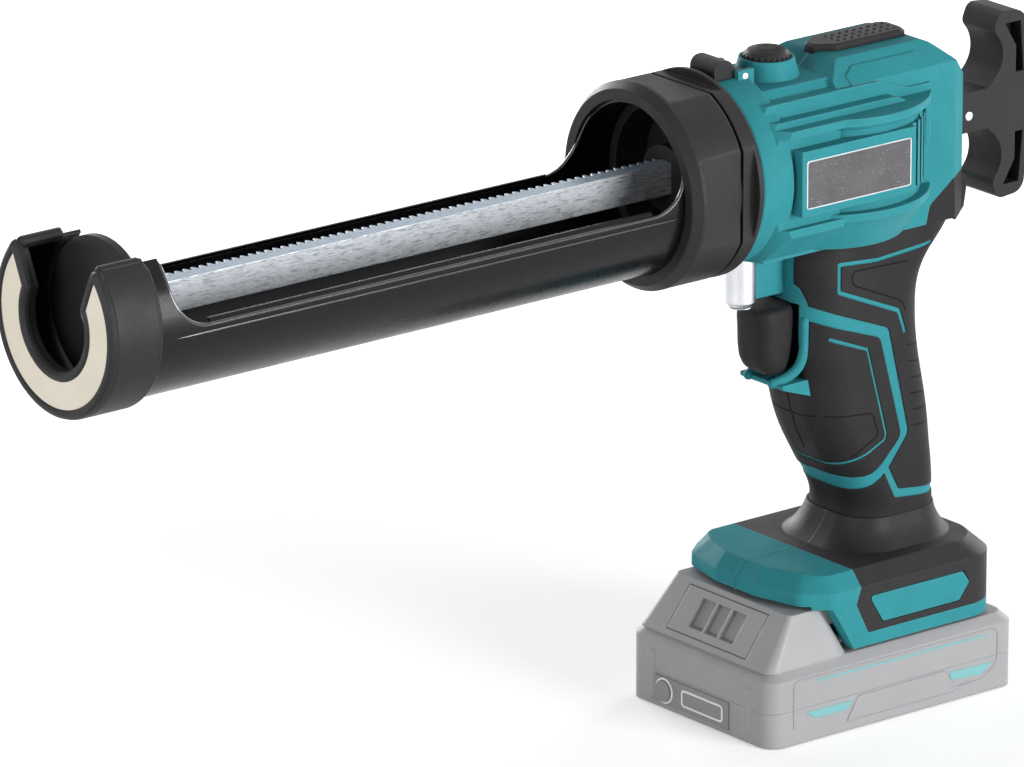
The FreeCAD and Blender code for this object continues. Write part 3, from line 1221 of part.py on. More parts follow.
# Battery: tray and lid around the cells, with the slide head, latch hump and key
def battery_plan(inset):
    """The battery's outline from above, drawn in by an inset."""
    return round_corners(f"-battery_half_length + ({inset})", f"battery_half_length - ({inset})",
                         f"battery_half_width - ({inset})", f"battery_corner - ({inset}) / 2")


battery_space = prism("battery_space", "XY", ("battery_wall", "battery_top - battery_wall"),
                      battery_plan("battery_wall"))
tray_form = prism("tray_form", "XY", ("0", "battery_split"), battery_plan("0"))
panel_span = ("-battery_half_length - 0.4", "panel_depth - battery_half_length")
panel_form = block("panel_form", panel_span, ("panel_left", "panel_right"), ("panel_bottom", "panel_top"))
check_axis = ("check_button_y", "(panel_bottom + panel_top) / 2")
check_hole = rod("check_hole", "X", "check_button_radius + running_gap", ("-far_side", "0"), check_axis)
panel_middle = "(panel_bottom + panel_top) / 2"
window_z = (f"{panel_middle} - window_half_height", f"{panel_middle} + window_half_height")
gauge = node(block("charge_gauge", ("-battery_half_length - 0.5", "0.5 - battery_half_length"),
                   ("window_left", "window_right"), window_z), "charge_gauge")
node(cut("charge_panel", panel_form, check_hole, gauge), "charge_panel")
node(rod("charge_button", "X", "check_button_radius",
         ("-battery_half_length - 1.3", "1.4 - battery_half_length"), check_axis), "charge_button")
check_well = rod("check_well", "X", "check_button_radius + running_gap", ("-far_side", "0"), check_axis)
node(cut("battery_tray", tray_form, battery_space, panel_form, check_well), "battery_tray")
lid_edge = "battery_top - battery_chamfer"
slope = "(hump_top_front - hump_front) / (hump_top - hump_low)"


def key_outline(low, high, depth):
    """A strip along the hump's front slope seen from the side, between two heights."""
    low_x = f"hump_front + ({low} - hump_low) * {slope}"
    high_x = f"hump_front + ({high} - hump_low) * {slope}"
    return [(low_x, low), (f"{low_x} + {depth}", low), (f"{high_x} + {depth}", high), (high_x, high)]


key_form = prism("key_form", "XZ", ("-key_half_width", "key_half_width"),
                 key_outline("key_low", "key_high", "key_thickness"))
pocket_edges = ["-key_pocket_half_width", "-key_pocket_half_width / 3 - key_rib / 2",
                "key_rib / 2 - key_pocket_half_width / 3", "key_pocket_half_width / 3 - key_rib / 2",
                "key_pocket_half_width / 3 + key_rib / 2", "key_pocket_half_width"]
key_pockets = [prism(f"key_pocket_{place}", "XZ", tuple(pocket_edges[2 * place:2 * place + 2]),
                     key_outline("key_pocket_low", "key_pocket_high", "key_pocket_depth"))
               for place in range(3)]
node(cut("battery_key", key_form, *key_pockets), "battery_key")
key_space = prism("key_space", "XZ", ("-key_half_width - part_gap", "key_half_width + part_gap"),
                  key_outline("(key_low - part_gap)", "(key_high + part_gap)",
                              "(key_thickness + key_travel + part_gap)"))
blade_ways = [block(f"blade_way_{place}", ("terminal_front + 2", "far_side"),
                    (f"{place} * blade_pitch - blade_thickness", f"{place} * blade_pitch + blade_thickness"),
                    ("blade_low - 1", "far_side")) for place in (-1, 0, 1)]
hump_base = round_corners("hump_front", "hump_back", "hump_base_half_width", "hump_round")
hump_crown = round_corners("hump_top_front", "hump_top_rear", "hump_half_width", "hump_round / 2")
lid_form = fuse("lid_form",
                prism("lid_wall", "XY", ("battery_split", lid_edge), battery_plan("0")),
                loft("lid_crown", [(lid_edge, battery_plan("0")),
                                   ("battery_top", battery_plan("battery_chamfer"))], True),
                loft("latch_hump", [("hump_low", hump_base), ("hump_top", hump_crown)], True),
                block("slide_neck", ("hump_top_rear", "head_rear"), ("-neck_half_width", "neck_half_width"),
                      ("battery_top - 1", "head_low + 1")),
                block("slide_head", ("hump_top_rear", "head_rear"), ("-head_half_width", "head_half_width"),
                      ("head_low", "hump_top")))
node(cut("battery_lid", lid_form, battery_space, key_space, *blade_ways), "battery_lid")
cells = [rod(f"cell_{place}", "Y", "cell_radius", ("-cell_length / 2", "cell_length / 2"),
             (f"{place} * cell_pitch", "cell_height")) for place in range(-2, 3)]
cell_group = doc.addObject("Part::Compound", "battery_cells")
cell_group.Links = cells
node(cell_group, "battery_cells")
cell_top = "cell_height + cell_radius"
node(block("battery_board", ("-2 * cell_pitch", "2 * cell_pitch"), ("-neck_half_width", "neck_half_width"),
           (f"{cell_top} + part_gap", f"{cell_top} + part_gap + 1.6")), "battery_board")

doc.recompute()
failed = [thing.Name for thing in doc.Objects if {"Invalid", "Error"} & set(thing.State)]
failed += [thing.Label for thing in nodes if thing.Shape.isNull() or not thing.Shape.isValid()]
if failed:
    raise RuntimeError(f"not built: {failed}")
os.makedirs("parts", exist_ok=True)
for thing in nodes:
    thing.Shape.exportStep(f"parts/{thing.Label}.step")
    print(thing.Label, len(thing.Shape.Solids), round(thing.Shape.Volume), thing.Shape.BoundBox)
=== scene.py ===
import json
import logging
import math
from dataclasses import dataclass, field
from enum import Enum
from typing import Any

import bmesh
import bpy
import numpy as np
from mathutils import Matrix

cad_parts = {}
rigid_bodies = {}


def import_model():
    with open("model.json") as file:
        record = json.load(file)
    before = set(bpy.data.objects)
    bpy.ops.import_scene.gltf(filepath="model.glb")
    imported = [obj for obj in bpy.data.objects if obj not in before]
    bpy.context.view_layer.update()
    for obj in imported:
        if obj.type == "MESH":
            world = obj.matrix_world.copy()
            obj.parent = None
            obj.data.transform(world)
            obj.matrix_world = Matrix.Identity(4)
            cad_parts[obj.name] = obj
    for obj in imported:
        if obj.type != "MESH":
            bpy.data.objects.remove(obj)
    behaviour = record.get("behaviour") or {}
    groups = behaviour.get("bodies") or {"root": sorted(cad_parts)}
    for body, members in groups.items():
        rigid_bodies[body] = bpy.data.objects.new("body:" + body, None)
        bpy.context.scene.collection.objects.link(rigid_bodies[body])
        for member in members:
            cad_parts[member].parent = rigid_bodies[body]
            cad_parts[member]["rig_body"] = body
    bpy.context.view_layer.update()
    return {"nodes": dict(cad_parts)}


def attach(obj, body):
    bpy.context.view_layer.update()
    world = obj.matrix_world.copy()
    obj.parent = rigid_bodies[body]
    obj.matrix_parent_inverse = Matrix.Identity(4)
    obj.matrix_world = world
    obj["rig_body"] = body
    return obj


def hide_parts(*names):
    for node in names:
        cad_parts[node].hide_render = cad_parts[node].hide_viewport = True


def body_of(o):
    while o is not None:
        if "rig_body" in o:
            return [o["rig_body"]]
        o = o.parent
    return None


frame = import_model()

# Looks of a cordless caulking tool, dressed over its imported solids.
# Lengths are in metres: +X runs to the rear along the barrel, -Y is the label side, +Z is up.

MM = 0.001
X_AXIS = (1.0, 0.0, 0.0)
Y_AXIS = (0.0, 1.0, 0.0)
Z_AXIS = (0.0, 0.0, 1.0)
WHITE = (1.0, 1.0, 1.0, 1.0)
log = logging.getLogger("caulking_tool")

Colour = tuple[int, int, int]
Place = tuple[float, ...]


class Slot(Enum):
    """The finishes: each is one of the record's material slots, or a variant of one after a slash."""

    TEAL = "teal_plastic"
    GRIP = "grip_rubber"
    BLACK = "black_plastic"
    BARREL = "barrel_paint"
    IVORY = "ivory_plastic"
    RACK = "rack_steel"
    GEAR = "gear_steel"
    SILVER = "silver_metal"
    LENS = "clear_lens"
    MOTOR = "motor_metal"
    BOARD = "board_green"
    BRASS = "contact_brass"
    PLATE = "plate_grey"
    BATTERY = "battery_grey"
    CELL = "cell_wrap"
    # Painted shade: a near-black finish for the lines along the grip's grooves.
    SEAM = "black_plastic/seam"
    FOLD = "barrel_paint/fold"
    PANEL = "battery_grey/panel"
    WHITE_LINE = "ivory_plastic/white_line"
    PALE_STRIPE = "teal_plastic/pale_stripe"

    @property
    def record_name(self) -> str:
        """The record's slot that the finish belongs to."""
        return self.value.split("/")[0]


class Streak(Enum):
    """Which way a brushed finish runs, as the scale of its noise along X, Y and Z."""

    NONE = (1.0, 1.0, 1.0)
    ALONG_X = (0.16, 1.0, 1.0)
    ALONG_Z = (1.0, 1.0, 0.05)


SCREEN_FULL = 255.0
CURVE_START = 0.04045
CURVE_SLOPE = 12.92
CURVE_SHIFT = 0.055
CURVE_POWER = 2.4


def linear(colour: Colour) -> tuple[float, float, float, float]:
    """A screen colour of 0 to 255 as the linear colour that a shader takes.

    Args:
        colour: red, green and blue as a screen shows them.

    Returns:
        Red, green, blue and full alpha in linear light.
    """
    share = np.array(colour) / SCREEN_FULL
    curve = ((share + CURVE_SHIFT) / (1 + CURVE_SHIFT)) ** CURVE_POWER
    bent = np.where(share <= CURVE_START, share / CURVE_SLOPE, curve)
    return (*bent.tolist(), 1.0)


class Graph:
    """Short calls to add nodes to a tree and to join them."""

    mix_inputs = (0, 6, 7)
    mix_output = 2

    def __init__(self, tree: bpy.types.NodeTree) -> None:
        """Start from a tree with no nodes in it."""
        self.tree = tree
        tree.nodes.clear()

    def add(self, kind: str, **settings: object) -> bpy.types.Node:
        """Add a node.

        Args:
            kind: the node's type name without its ShaderNode prefix.
            settings: properties to set, or inputs by their names with _ for a space.

        Returns:
            The new node.
        """
        node = self.tree.nodes.new(kind if kind.startswith("Node") else f"ShaderNode{kind}")
        for name, value in settings.items():
            if hasattr(node, name):
                setattr(node, name, value)
            else:
                self.feed(node.inputs[name.replace("_", " ")], value)
        return node

    def feed(self, target: bpy.types.NodeSocket, value: object) -> None:
        """Lead another socket into an input, or set the input to a plain value."""
        if isinstance(value, bpy.types.NodeSocket):
            self.tree.links.new(value, target)
        else:
            target.default_value = value

    def join(self, source: bpy.types.NodeSocket, target: bpy.types.NodeSocket) -> None:
        """Lead a socket's value into another socket."""
        self.tree.links.new(source, target)

    def math(self, operation: str, *values: object) -> bpy.types.NodeSocket:
        """The result of a Math node.

        Args:
            operation: the Math node's operation.
            values: up to three sockets or numbers.

        Returns:
            The socket that holds the result.
        """
        node = self.add("Math", operation=operation)
        for place, value in enumerate(values):
            self.feed(node.inputs[place], value)
        return node.outputs[0]

    def spread(self, value: bpy.types.NodeSocket, low: float, high: float,
               to_low: float = 0.0, to_high: float = 1.0) -> bpy.types.NodeSocket:
        """A value stretched from one range to another and held inside it.

        Args:
            value: the socket to stretch.
            low: the value that becomes to_low.
            high: the value that becomes to_high.
            to_low: one end of the new range.
            to_high: the other end of the new range.

        Returns:
            The socket that holds the stretched value.
        """
        node = self.add("MapRange", Value=value, From_Min=low, From_Max=high, To_Min=to_low, To_Max=to_high)
        return node.outputs["Result"]

    def mix(self, share: object, first: object, second: object) -> bpy.types.NodeSocket:
        """Two colours mixed.

        Args:
            share: how much of the second colour, as a socket or a number.
            first: a colour or a socket.
            second: a colour or a socket.

        Returns:
            The socket that holds the mixed colour.
        """
        node = self.add("Mix", data_type="RGBA")
        for place, value in zip(self.mix_inputs, (share, first, second)):
            self.feed(node.inputs[place], value)
        return node.outputs[self.mix_output]


class Effects:
    """Node groups that several finishes share, each built once."""

    edge_facing = (0.985, 0.80)
    broad_share = 0.6
    tone_range = (0.36, 0.64)
    fleck_range = (0.30, 0.12)
    patch_share = 0.22
    patch_range = (0.45, 0.65)
    up_range = (0.75, 0.95)

    def __init__(self) -> None:
        """Build every group."""
        self.edge = self.make_edge()
        self.grain = self.make_grain()
        self.speckle = self.make_speckle()
        self.top_light_mask = self.make_top_light_mask()

    @staticmethod
    def start(name: str, inputs: dict[str, str], outputs: dict[str, str]) -> tuple[Graph, dict, dict]:
        """Open a new group.

        Args:
            name: the group's name.
            inputs: its inputs, as socket name to socket type.
            outputs: its outputs, as socket name to socket type.

        Returns:
            The group's graph, its inputs as sockets to read and its outputs as sockets to feed.
        """
        tree = bpy.data.node_groups.new(name, "ShaderNodeTree")
        graph = Graph(tree)
        for label, kind in inputs.items():
            tree.interface.new_socket(label, in_out="INPUT", socket_type=f"NodeSocket{kind}")
        for label, kind in outputs.items():
            tree.interface.new_socket(label, in_out="OUTPUT", socket_type=f"NodeSocket{kind}")
        entry = graph.add("NodeGroupInput")
        leave = graph.add("NodeGroupOutput")
        return graph, entry.outputs, leave.inputs

    def make_edge(self) -> bpy.types.NodeTree:
        """Rounded edges: the normal as if each edge had a small radius, and a mask of where that bends it.

        Returns:
            A group that takes the radius and gives the normal and the mask.
        """
        graph, given, put = self.start(
            "rounded_edge", {"Radius": "Float"}, {"Normal": "Vector", "Edge": "Float"})
        round_off = graph.add("Bevel", samples=6, Radius=given["Radius"])
        facing = graph.add("VectorMath", operation="DOT_PRODUCT")
        graph.join(round_off.outputs["Normal"], facing.inputs[0])
        graph.join(graph.add("NewGeometry").outputs["Normal"], facing.inputs[1])
        graph.join(round_off.outputs["Normal"], put["Normal"])
        graph.join(graph.spread(facing.outputs["Value"], *self.edge_facing), put["Edge"])
        return graph.tree

    def make_grain(self) -> bpy.types.NodeTree:
        """Surface grain: fine noise as a height, and broad soft noise as a tone.

        Returns:
            A group that takes a place and two sizes and gives the height and the tone.
        """
        graph, given, put = self.start(
            "surface_grain", {"Vector": "Vector", "Size": "Float", "Broad": "Float"},
            {"Height": "Float", "Tone": "Float"})
        fine = graph.add("TexNoise", Vector=given["Vector"], Detail=3.0, Roughness=0.6,
                         Scale=graph.math("DIVIDE", 1.0, given["Size"]))
        broad = graph.add("TexNoise", Vector=given["Vector"], Detail=4.0, Roughness=0.55,
                          Scale=graph.math("DIVIDE", 1.0, given["Broad"]))
        graph.join(fine.outputs["Fac"], put["Height"])
        rest = graph.math("MULTIPLY", fine.outputs["Fac"], 1 - self.broad_share)
        tone = graph.math("MULTIPLY_ADD", broad.outputs["Fac"], self.broad_share, rest)
        graph.join(graph.spread(tone, *self.tone_range), put["Tone"])
        return graph.tree

    def make_speckle(self) -> bpy.types.NodeTree:
        """Small flecks: the middles of scattered cells, as a mask.

        Returns:
            A group that takes a place and a size and gives the mask.
        """
        graph, given, put = self.start("speckle", {"Vector": "Vector", "Size": "Float"}, {"Fleck": "Float"})
        cells = graph.add("TexVoronoi", Vector=given["Vector"],
                          Scale=graph.math("DIVIDE", 1.0, given["Size"]))
        patch = graph.add("TexNoise", Vector=given["Vector"], Detail=2.0,
                          Scale=graph.math("DIVIDE", self.patch_share, given["Size"]))
        near = graph.spread(cells.outputs["Distance"], *self.fleck_range)
        patches = graph.spread(patch.outputs["Fac"], *self.patch_range)
        graph.join(graph.math("MULTIPLY", near, patches), put["Fleck"])
        return graph.tree

    def make_top_light_mask(self) -> bpy.types.NodeTree:
        """Painted top light: a mask that is full where a face looks straight up, so that upper faces take a
        lighter colour painted on as light from above.

        Returns:
            A group that gives the mask.
        """
        graph, _, put = self.start("top_light_mask", {}, {"Up": "Float"})
        parts = graph.add("SeparateXYZ")
        graph.join(graph.add("NewGeometry").outputs["Normal"], parts.inputs[0])
        graph.join(graph.spread(parts.outputs["Z"], *self.up_range), put["Up"])
        return graph.tree


# Lighter edges: partly edge wear, partly a painted highlight on every rounded edge.
WEAR_AND_HIGHLIGHT_TONE = (0.2, 0.8)
LEAST_WEAR_AND_HIGHLIGHT = 0.3
LEAST_ROUGHNESS = 0.02


@dataclass(frozen=True)
class Finish:
    """One finish of the tool, with its colours as a screen shows them and its grain in metres."""

    slot: Slot
    colour: Colour
    shade: Colour
    # The edge colour is partly worn edges and partly a painted edge highlight.
    edge_colour: Colour
    roughness: float
    metallic: float = 0.0
    specular: float = 0.5
    coat: float = 0.0
    coat_roughness: float = 0.12
    tone: float = 0.5
    edge_share: float = 0.4
    edge_radius: float = 0.0005
    grain: float = 0.0005
    broad: float = 0.012
    depth: float = 0.00004
    roughness_spread: float = 0.06
    fleck_colour: Colour = (120, 120, 120)
    fleck: float = 0.0
    fleck_size: float = 0.0012
    streak: Streak = Streak.NONE
    transmission: float = 0.0
    # The top colour and its share paint upper faces lighter: painted top light.
    top_light_colour: Colour = (255, 255, 255)
    top: float = 0.0

    def material(self, effects: Effects) -> bpy.types.Material:
        """Build the finish as a material.

        Args:
            effects: the shared node groups.

        Returns:
            The material, named after its slot.
        """
        made = bpy.data.materials.new(self.slot.value.replace("/", "_"))
        made.use_nodes = True
        graph = Graph(made.node_tree)
        place = graph.add("TexCoord").outputs["Object"]
        if self.streak is not Streak.NONE:
            place = graph.add("Mapping", Vector=place, Scale=self.streak.value).outputs["Vector"]
        grain = graph.add("Group", node_tree=effects.grain, Vector=place, Size=self.grain, Broad=self.broad)
        shaded = graph.math("MULTIPLY", grain.outputs["Tone"], self.tone)
        colour = graph.mix(shaded, linear(self.colour), linear(self.shade))
        if self.fleck:
            speckle = graph.add("Group", node_tree=effects.speckle, Vector=place, Size=self.fleck_size)
            flecked = graph.math("MULTIPLY", speckle.outputs["Fleck"], self.fleck)
            colour = graph.mix(flecked, colour, linear(self.fleck_colour))
        # Painted light: faces that look up are tinted towards the top colour, a lighter colour painted on as
        # if light fell on them from above.
        if self.top:
            top_light_mask = graph.add("Group", node_tree=effects.top_light_mask)
            painted_top_light = graph.math("MULTIPLY", top_light_mask.outputs["Up"], self.top)
            colour = graph.mix(painted_top_light, colour, linear(self.top_light_colour))
        # Painted edge highlight: the rounded-edge mask mixes in the lighter edge colour on concave and
        # convex edges alike. It stands for edge wear and a painted highlight together.
        edge = graph.add("Group", node_tree=effects.edge, Radius=self.edge_radius)
        least_wear_and_highlight = LEAST_WEAR_AND_HIGHLIGHT * self.edge_share
        worn_and_lit = graph.spread(grain.outputs["Tone"], *WEAR_AND_HIGHLIGHT_TONE, least_wear_and_highlight, self.edge_share)
        wear_and_highlight = graph.math("MULTIPLY", edge.outputs["Edge"], worn_and_lit)
        colour = graph.mix(wear_and_highlight, colour, linear(self.edge_colour))
        bump = graph.add("Bump", Strength=1.0, Distance=self.depth, Height=grain.outputs["Height"],
                         Normal=edge.outputs["Normal"])
        smoothest = max(self.roughness - self.roughness_spread, LEAST_ROUGHNESS)
        roughest = self.roughness + self.roughness_spread
        rough = graph.spread(grain.outputs["Tone"], 0.0, 1.0, smoothest, roughest)
        shader = graph.add("BsdfPrincipled", Base_Color=colour, Roughness=rough, Metallic=self.metallic,
                           Normal=bump.outputs["Normal"], Specular_IOR_Level=self.specular,
                           Coat_Weight=self.coat, Coat_Roughness=self.coat_roughness,
                           Transmission_Weight=self.transmission)
        graph.join(shader.outputs["BSDF"], graph.add("OutputMaterial").inputs["Surface"])
        return made


FINISHES = (
    Finish(Slot.TEAL, (52, 138, 146), (42, 121, 130), (128, 200, 200), roughness=0.5, specular=0.06,
           grain=0.0004, depth=0.00003, edge_radius=0.0008, fleck=0.3, fleck_colour=(120, 196, 196),
           fleck_size=0.0007),
    Finish(Slot.GRIP, (36, 35, 37), (26, 25, 27), (78, 76, 78), roughness=0.6, grain=0.0005,
           depth=0.00005, specular=0.16, edge_radius=0.0006, fleck=0.12, fleck_size=0.0008),
    Finish(Slot.BLACK, (35, 34, 36), (26, 25, 27), (78, 77, 80), roughness=0.5, grain=0.00045,
           depth=0.00004, specular=0.22, fleck=0.3, fleck_colour=(86, 86, 88), fleck_size=0.0009,
           edge_radius=0.0006),
    Finish(Slot.BARREL, (12, 12, 14), (8, 8, 10), (64, 64, 68), roughness=0.26, grain=0.0009,
           depth=0.000012, specular=0.2, coat=0.06, edge_radius=0.0004),
    Finish(Slot.IVORY, (234, 227, 211), (225, 215, 195), (243, 239, 228), roughness=0.5, depth=0.00002),
    # The rack's streaks follow its real brushing; their strong dark-to-white contrast is a painted
    # reflection.
    Finish(Slot.RACK, (228, 234, 240), (40, 47, 58), (244, 246, 248), roughness=0.34, metallic=0.3,
           grain=0.00045, broad=0.0009, tone=0.75, depth=0.00008, streak=Streak.ALONG_X,
           # The rack's top face is painted light blue by the top colour: a painted sheen.
           roughness_spread=0.14, top_light_colour=(170, 190, 210), top=0.85),
    Finish(Slot.GEAR, (176, 178, 182), (140, 142, 148), (214, 216, 220), roughness=0.32, metallic=1.0),
    Finish(Slot.SILVER, (214, 216, 219), (178, 180, 184), (238, 239, 241), roughness=0.36, metallic=1.0,
           grain=0.0003, depth=0.00002, fleck=0.35, fleck_colour=(120, 122, 126), fleck_size=0.0007),
    Finish(Slot.LENS, (240, 244, 248), (226, 232, 238), (250, 251, 252), roughness=0.08,
           transmission=0.85, depth=0.000004),
    Finish(Slot.MOTOR, (168, 170, 174), (140, 142, 146), (204, 206, 210), roughness=0.36, metallic=1.0,
           streak=Streak.ALONG_Z),
    Finish(Slot.BOARD, (28, 96, 62), (20, 78, 50), (70, 132, 100), roughness=0.4),
    Finish(Slot.BRASS, (214, 178, 104), (190, 152, 82), (236, 210, 150), roughness=0.28, metallic=1.0),
    Finish(Slot.PLATE, (78, 76, 79), (56, 55, 58), (150, 150, 153), roughness=0.5, tone=0.8,
           grain=0.00035, fleck=0.8, fleck_colour=(150, 150, 153), fleck_size=0.0008, depth=0.00004),
    Finish(Slot.BATTERY, (156, 156, 158), (147, 147, 149), (186, 187, 189), roughness=0.5, grain=0.0005,
           depth=0.00003, edge_radius=0.0009),
    Finish(Slot.CELL, (70, 110, 160), (58, 96, 142), (120, 150, 190), roughness=0.35),
    # Painted groove shade: near black, darker than the grip itself.
    Finish(Slot.SEAM, (16, 16, 17), (12, 12, 13), (26, 26, 27), roughness=0.7, specular=0.15),
    Finish(Slot.FOLD, (20, 20, 22), (16, 16, 18), (60, 60, 64), roughness=0.2, specular=0.5, coat=0.7,
           depth=0.00001),
    Finish(Slot.PANEL, (138, 138, 140), (130, 130, 132), (170, 171, 173), roughness=0.5, grain=0.0005),
    Finish(Slot.WHITE_LINE, (246, 246, 244), (240, 240, 238), (250, 250, 249), roughness=0.45,
           depth=0.00001),
    Finish(Slot.PALE_STRIPE, (118, 176, 178), (112, 170, 172), (140, 190, 191), roughness=0.45,
           depth=0.00001),
)


class Palette:
    """The materials of the tool, by slot."""

    def __init__(self) -> None:
        """Build the shared groups and one material for each finish."""
        effects = Effects()
        self.materials = {finish.slot: finish.material(effects) for finish in FINISHES}

    def paint(self, piece: bpy.types.Object, slot: Slot) -> None:
        """Give a piece one finish all over."""
        piece.data.materials.clear()
        piece.data.materials.append(self.materials[slot])


MERGE_DISTANCE = 2e-6
POLE_DISTANCE = 1e-8
EDGE_SHARE = 1e-5
CREASE = math.radians(28)
FLAT = math.radians(0.5)
ROUND_FROM = math.radians(40)
ROUND_STEPS = 4
BEND_POINTS = 9
LEAST_POINTS = 8
BEAD_SIDES = 10
BEAD_END_STEPS = 3.0
FINE_STEP = 0.5 * MM
AXIS_HEIGHT = 185.5 * MM
SIDES = {"left": -1, "right": 1}


def link(name: str, mesh: bpy.types.Mesh) -> bpy.types.Object:
    """Shade a mesh smooth up to the crease angle and put it into the scene.

    Args:
        name: the object's name.
        mesh: the finished mesh.

    Returns:
        The new object.
    """
    mesh.shade_smooth()
    mesh.set_sharp_from_angle(angle=CREASE)
    piece = bpy.data.objects.new(name, mesh)
    bpy.context.scene.collection.objects.link(piece)
    return piece


def smooth_copy(node: str, round_off: float = 0.0) -> bpy.types.Object:
    """Copy a solid's mesh with its loose triangles merged and its round faces shaded smooth.

    Args:
        node: the solid's name.
        round_off: how far its sharp edges are rounded off.

    Returns:
        A new object named after the solid.
    """
    mesh = frame["nodes"][node].data.copy()
    mesh.name = f"{node}_shell"
    for name in ("custom_normal", "sharp_face", "sharp_edge"):
        if name in mesh.attributes:
            mesh.attributes.remove(mesh.attributes[name])
    work = bmesh.new()
    work.from_mesh(mesh)
    bmesh.ops.remove_doubles(work, verts=work.verts, dist=MERGE_DISTANCE)
    if round_off:
        bmesh.ops.dissolve_limit(work, angle_limit=FLAT, verts=work.verts, edges=work.edges)
    work.to_mesh(mesh)
    work.free()
    piece = link(mesh.name, mesh)
    if round_off:
        rounder = piece.modifiers.new("rounded_edges", "BEVEL")
        rounder.width = round_off
        rounder.segments = ROUND_STEPS
        rounder.limit_method = "ANGLE"
        rounder.angle_limit = ROUND_FROM
    weigh = piece.modifiers.new("even_shading", "WEIGHTED_NORMAL")
    weigh.keep_sharp = True
    return piece


def surface(name: str, points: np.ndarray, close_rows: bool = False,
            close_columns: bool = False) -> bpy.types.Object:
    """A surface of four-sided faces through a grid of points.

    Each face joins a point with its neighbours in the next column and the next row. Points that fall
    together at a pole become one, and the faces of a surface that closes on itself are turned outwards.

    Args:
        name: the object's name.
        points: an array of rows, columns and three coordinates.
        close_rows: join the last row to the first.
        close_columns: join the last column to the first.

    Returns:
        The new object, shaded smooth up to the crease angle.
    """
    rows, columns = points.shape[:2]
    row = np.arange(rows if close_rows else rows - 1)[:, None]
    column = np.arange(columns if close_columns else columns - 1)[None, :]
    next_row = (row + 1) % rows
    next_column = (column + 1) % columns
    corners = (row * columns + column, row * columns + next_column,
               next_row * columns + next_column, next_row * columns + column)
    faces = np.stack(np.broadcast_arrays(*corners), axis=-1)
    mesh = bpy.data.meshes.new(name)
    mesh.from_pydata(points.reshape(-1, 3).tolist(), [], faces.reshape(-1, 4).tolist())
    work = bmesh.new()
    work.from_mesh(mesh)
    bmesh.ops.remove_doubles(work, verts=work.verts, dist=POLE_DISTANCE)
    if close_rows or close_columns:
        bmesh.ops.recalc_face_normals(work, faces=work.faces)
    work.to_mesh(mesh)
    work.free()
    return link(name, mesh)


def rounded_line(corner: np.ndarray, reach: float, spacing: float, closed: bool) -> np.ndarray:
    """Points at even steps along straight runs with rounded corners.

    Each corner becomes a parabola, which leaves the run before it and meets the run after it at the same
    reach from the corner. The whole line is then cut into equal steps of its length.

    Args:
        corner: an array of the line's corners, each with two or three coordinates.
        reach: how far from a corner its bend begins, and at most half a run.
        spacing: about how far the points stand apart.
        closed: whether the last corner leads back to the first.

    Returns:
        An array of points with as many coordinates as the corners.
    """
    back = np.roll(corner, 1, axis=0) - corner
    ahead = np.roll(corner, -1, axis=0) - corner
    start = corner + back * np.minimum(reach / np.linalg.norm(back, axis=1), 0.5)[:, None]
    stop = corner + ahead * np.minimum(reach / np.linalg.norm(ahead, axis=1), 0.5)[:, None]
    if not closed:
        start[[0, -1]] = corner[[0, -1]]
        stop[[0, -1]] = corner[[0, -1]]
    share = np.linspace(0.0, 1.0, BEND_POINTS)[None, :, None]
    bend = (1 - share) ** 2 * start[:, None] + 2 * share * (1 - share) * corner[:, None]
    line = (bend + share ** 2 * stop[:, None]).reshape(-1, corner.shape[1])
    if closed:
        line = np.vstack([line, line[:1]])
    length = np.concatenate([[0.0], np.cumsum(np.linalg.norm(np.diff(line, axis=0), axis=1))])
    count = max(int(length[-1] / spacing), LEAST_POINTS)
    steps = np.linspace(0.0, length[-1], count, endpoint=not closed)
    return np.stack([np.interp(steps, length, along) for along in line.T], axis=-1)


@dataclass(frozen=True)
class Route:
    """A line in millimetres: its corners, how far its bends reach and how far its points stand apart."""

    corners: tuple[Place, ...]
    bend: float
    step: float
    closed: bool = False

    def points(self, *mirror: float) -> np.ndarray:
        """The line's points in metres, with each coordinate multiplied by its mirror if any are given."""
        corner = np.array(self.corners) * (mirror or 1.0) * MM
        return rounded_line(corner, self.bend * MM, self.step * MM, self.closed)


def bead(name: str, path: np.ndarray, up: Place, radius: float, closed: bool = False) -> bpy.types.Object:
    """A round bead along a path.

    Around each point of the path runs a circle square to the path, drawn by the cosine and the sine of an
    angle. On an open path the circles shrink to a point over the last steps at both ends, as the square
    root of the step.

    Args:
        name: the object's name.
        path: an array of points.
        up: a direction that the path never runs along.
        radius: the bead's radius.
        closed: whether the last point leads back to the first.

    Returns:
        The new object.
    """
    around = np.roll(path, -1, axis=0) - np.roll(path, 1, axis=0)
    ahead = around if closed else np.gradient(path, axis=0)
    side = np.cross(np.array(up), ahead)
    side /= np.linalg.norm(side, axis=1)[:, None]
    lift = np.cross(ahead, side)
    lift /= np.linalg.norm(lift, axis=1)[:, None]
    angle = np.linspace(0.0, 2 * np.pi, BEAD_SIDES, endpoint=False)[None, :, None]
    step = np.arange(len(path))
    taper = np.sqrt(np.clip(np.minimum(step, step[::-1]) / BEAD_END_STEPS, 0.0, 1.0))
    swell = np.ones(len(path)) if closed else taper
    circle = np.cos(angle) * side[:, None] + np.sin(angle) * lift[:, None]
    points = path[:, None] + radius * swell[:, None, None] * circle
    return surface(name, points, close_rows=closed, close_columns=True)


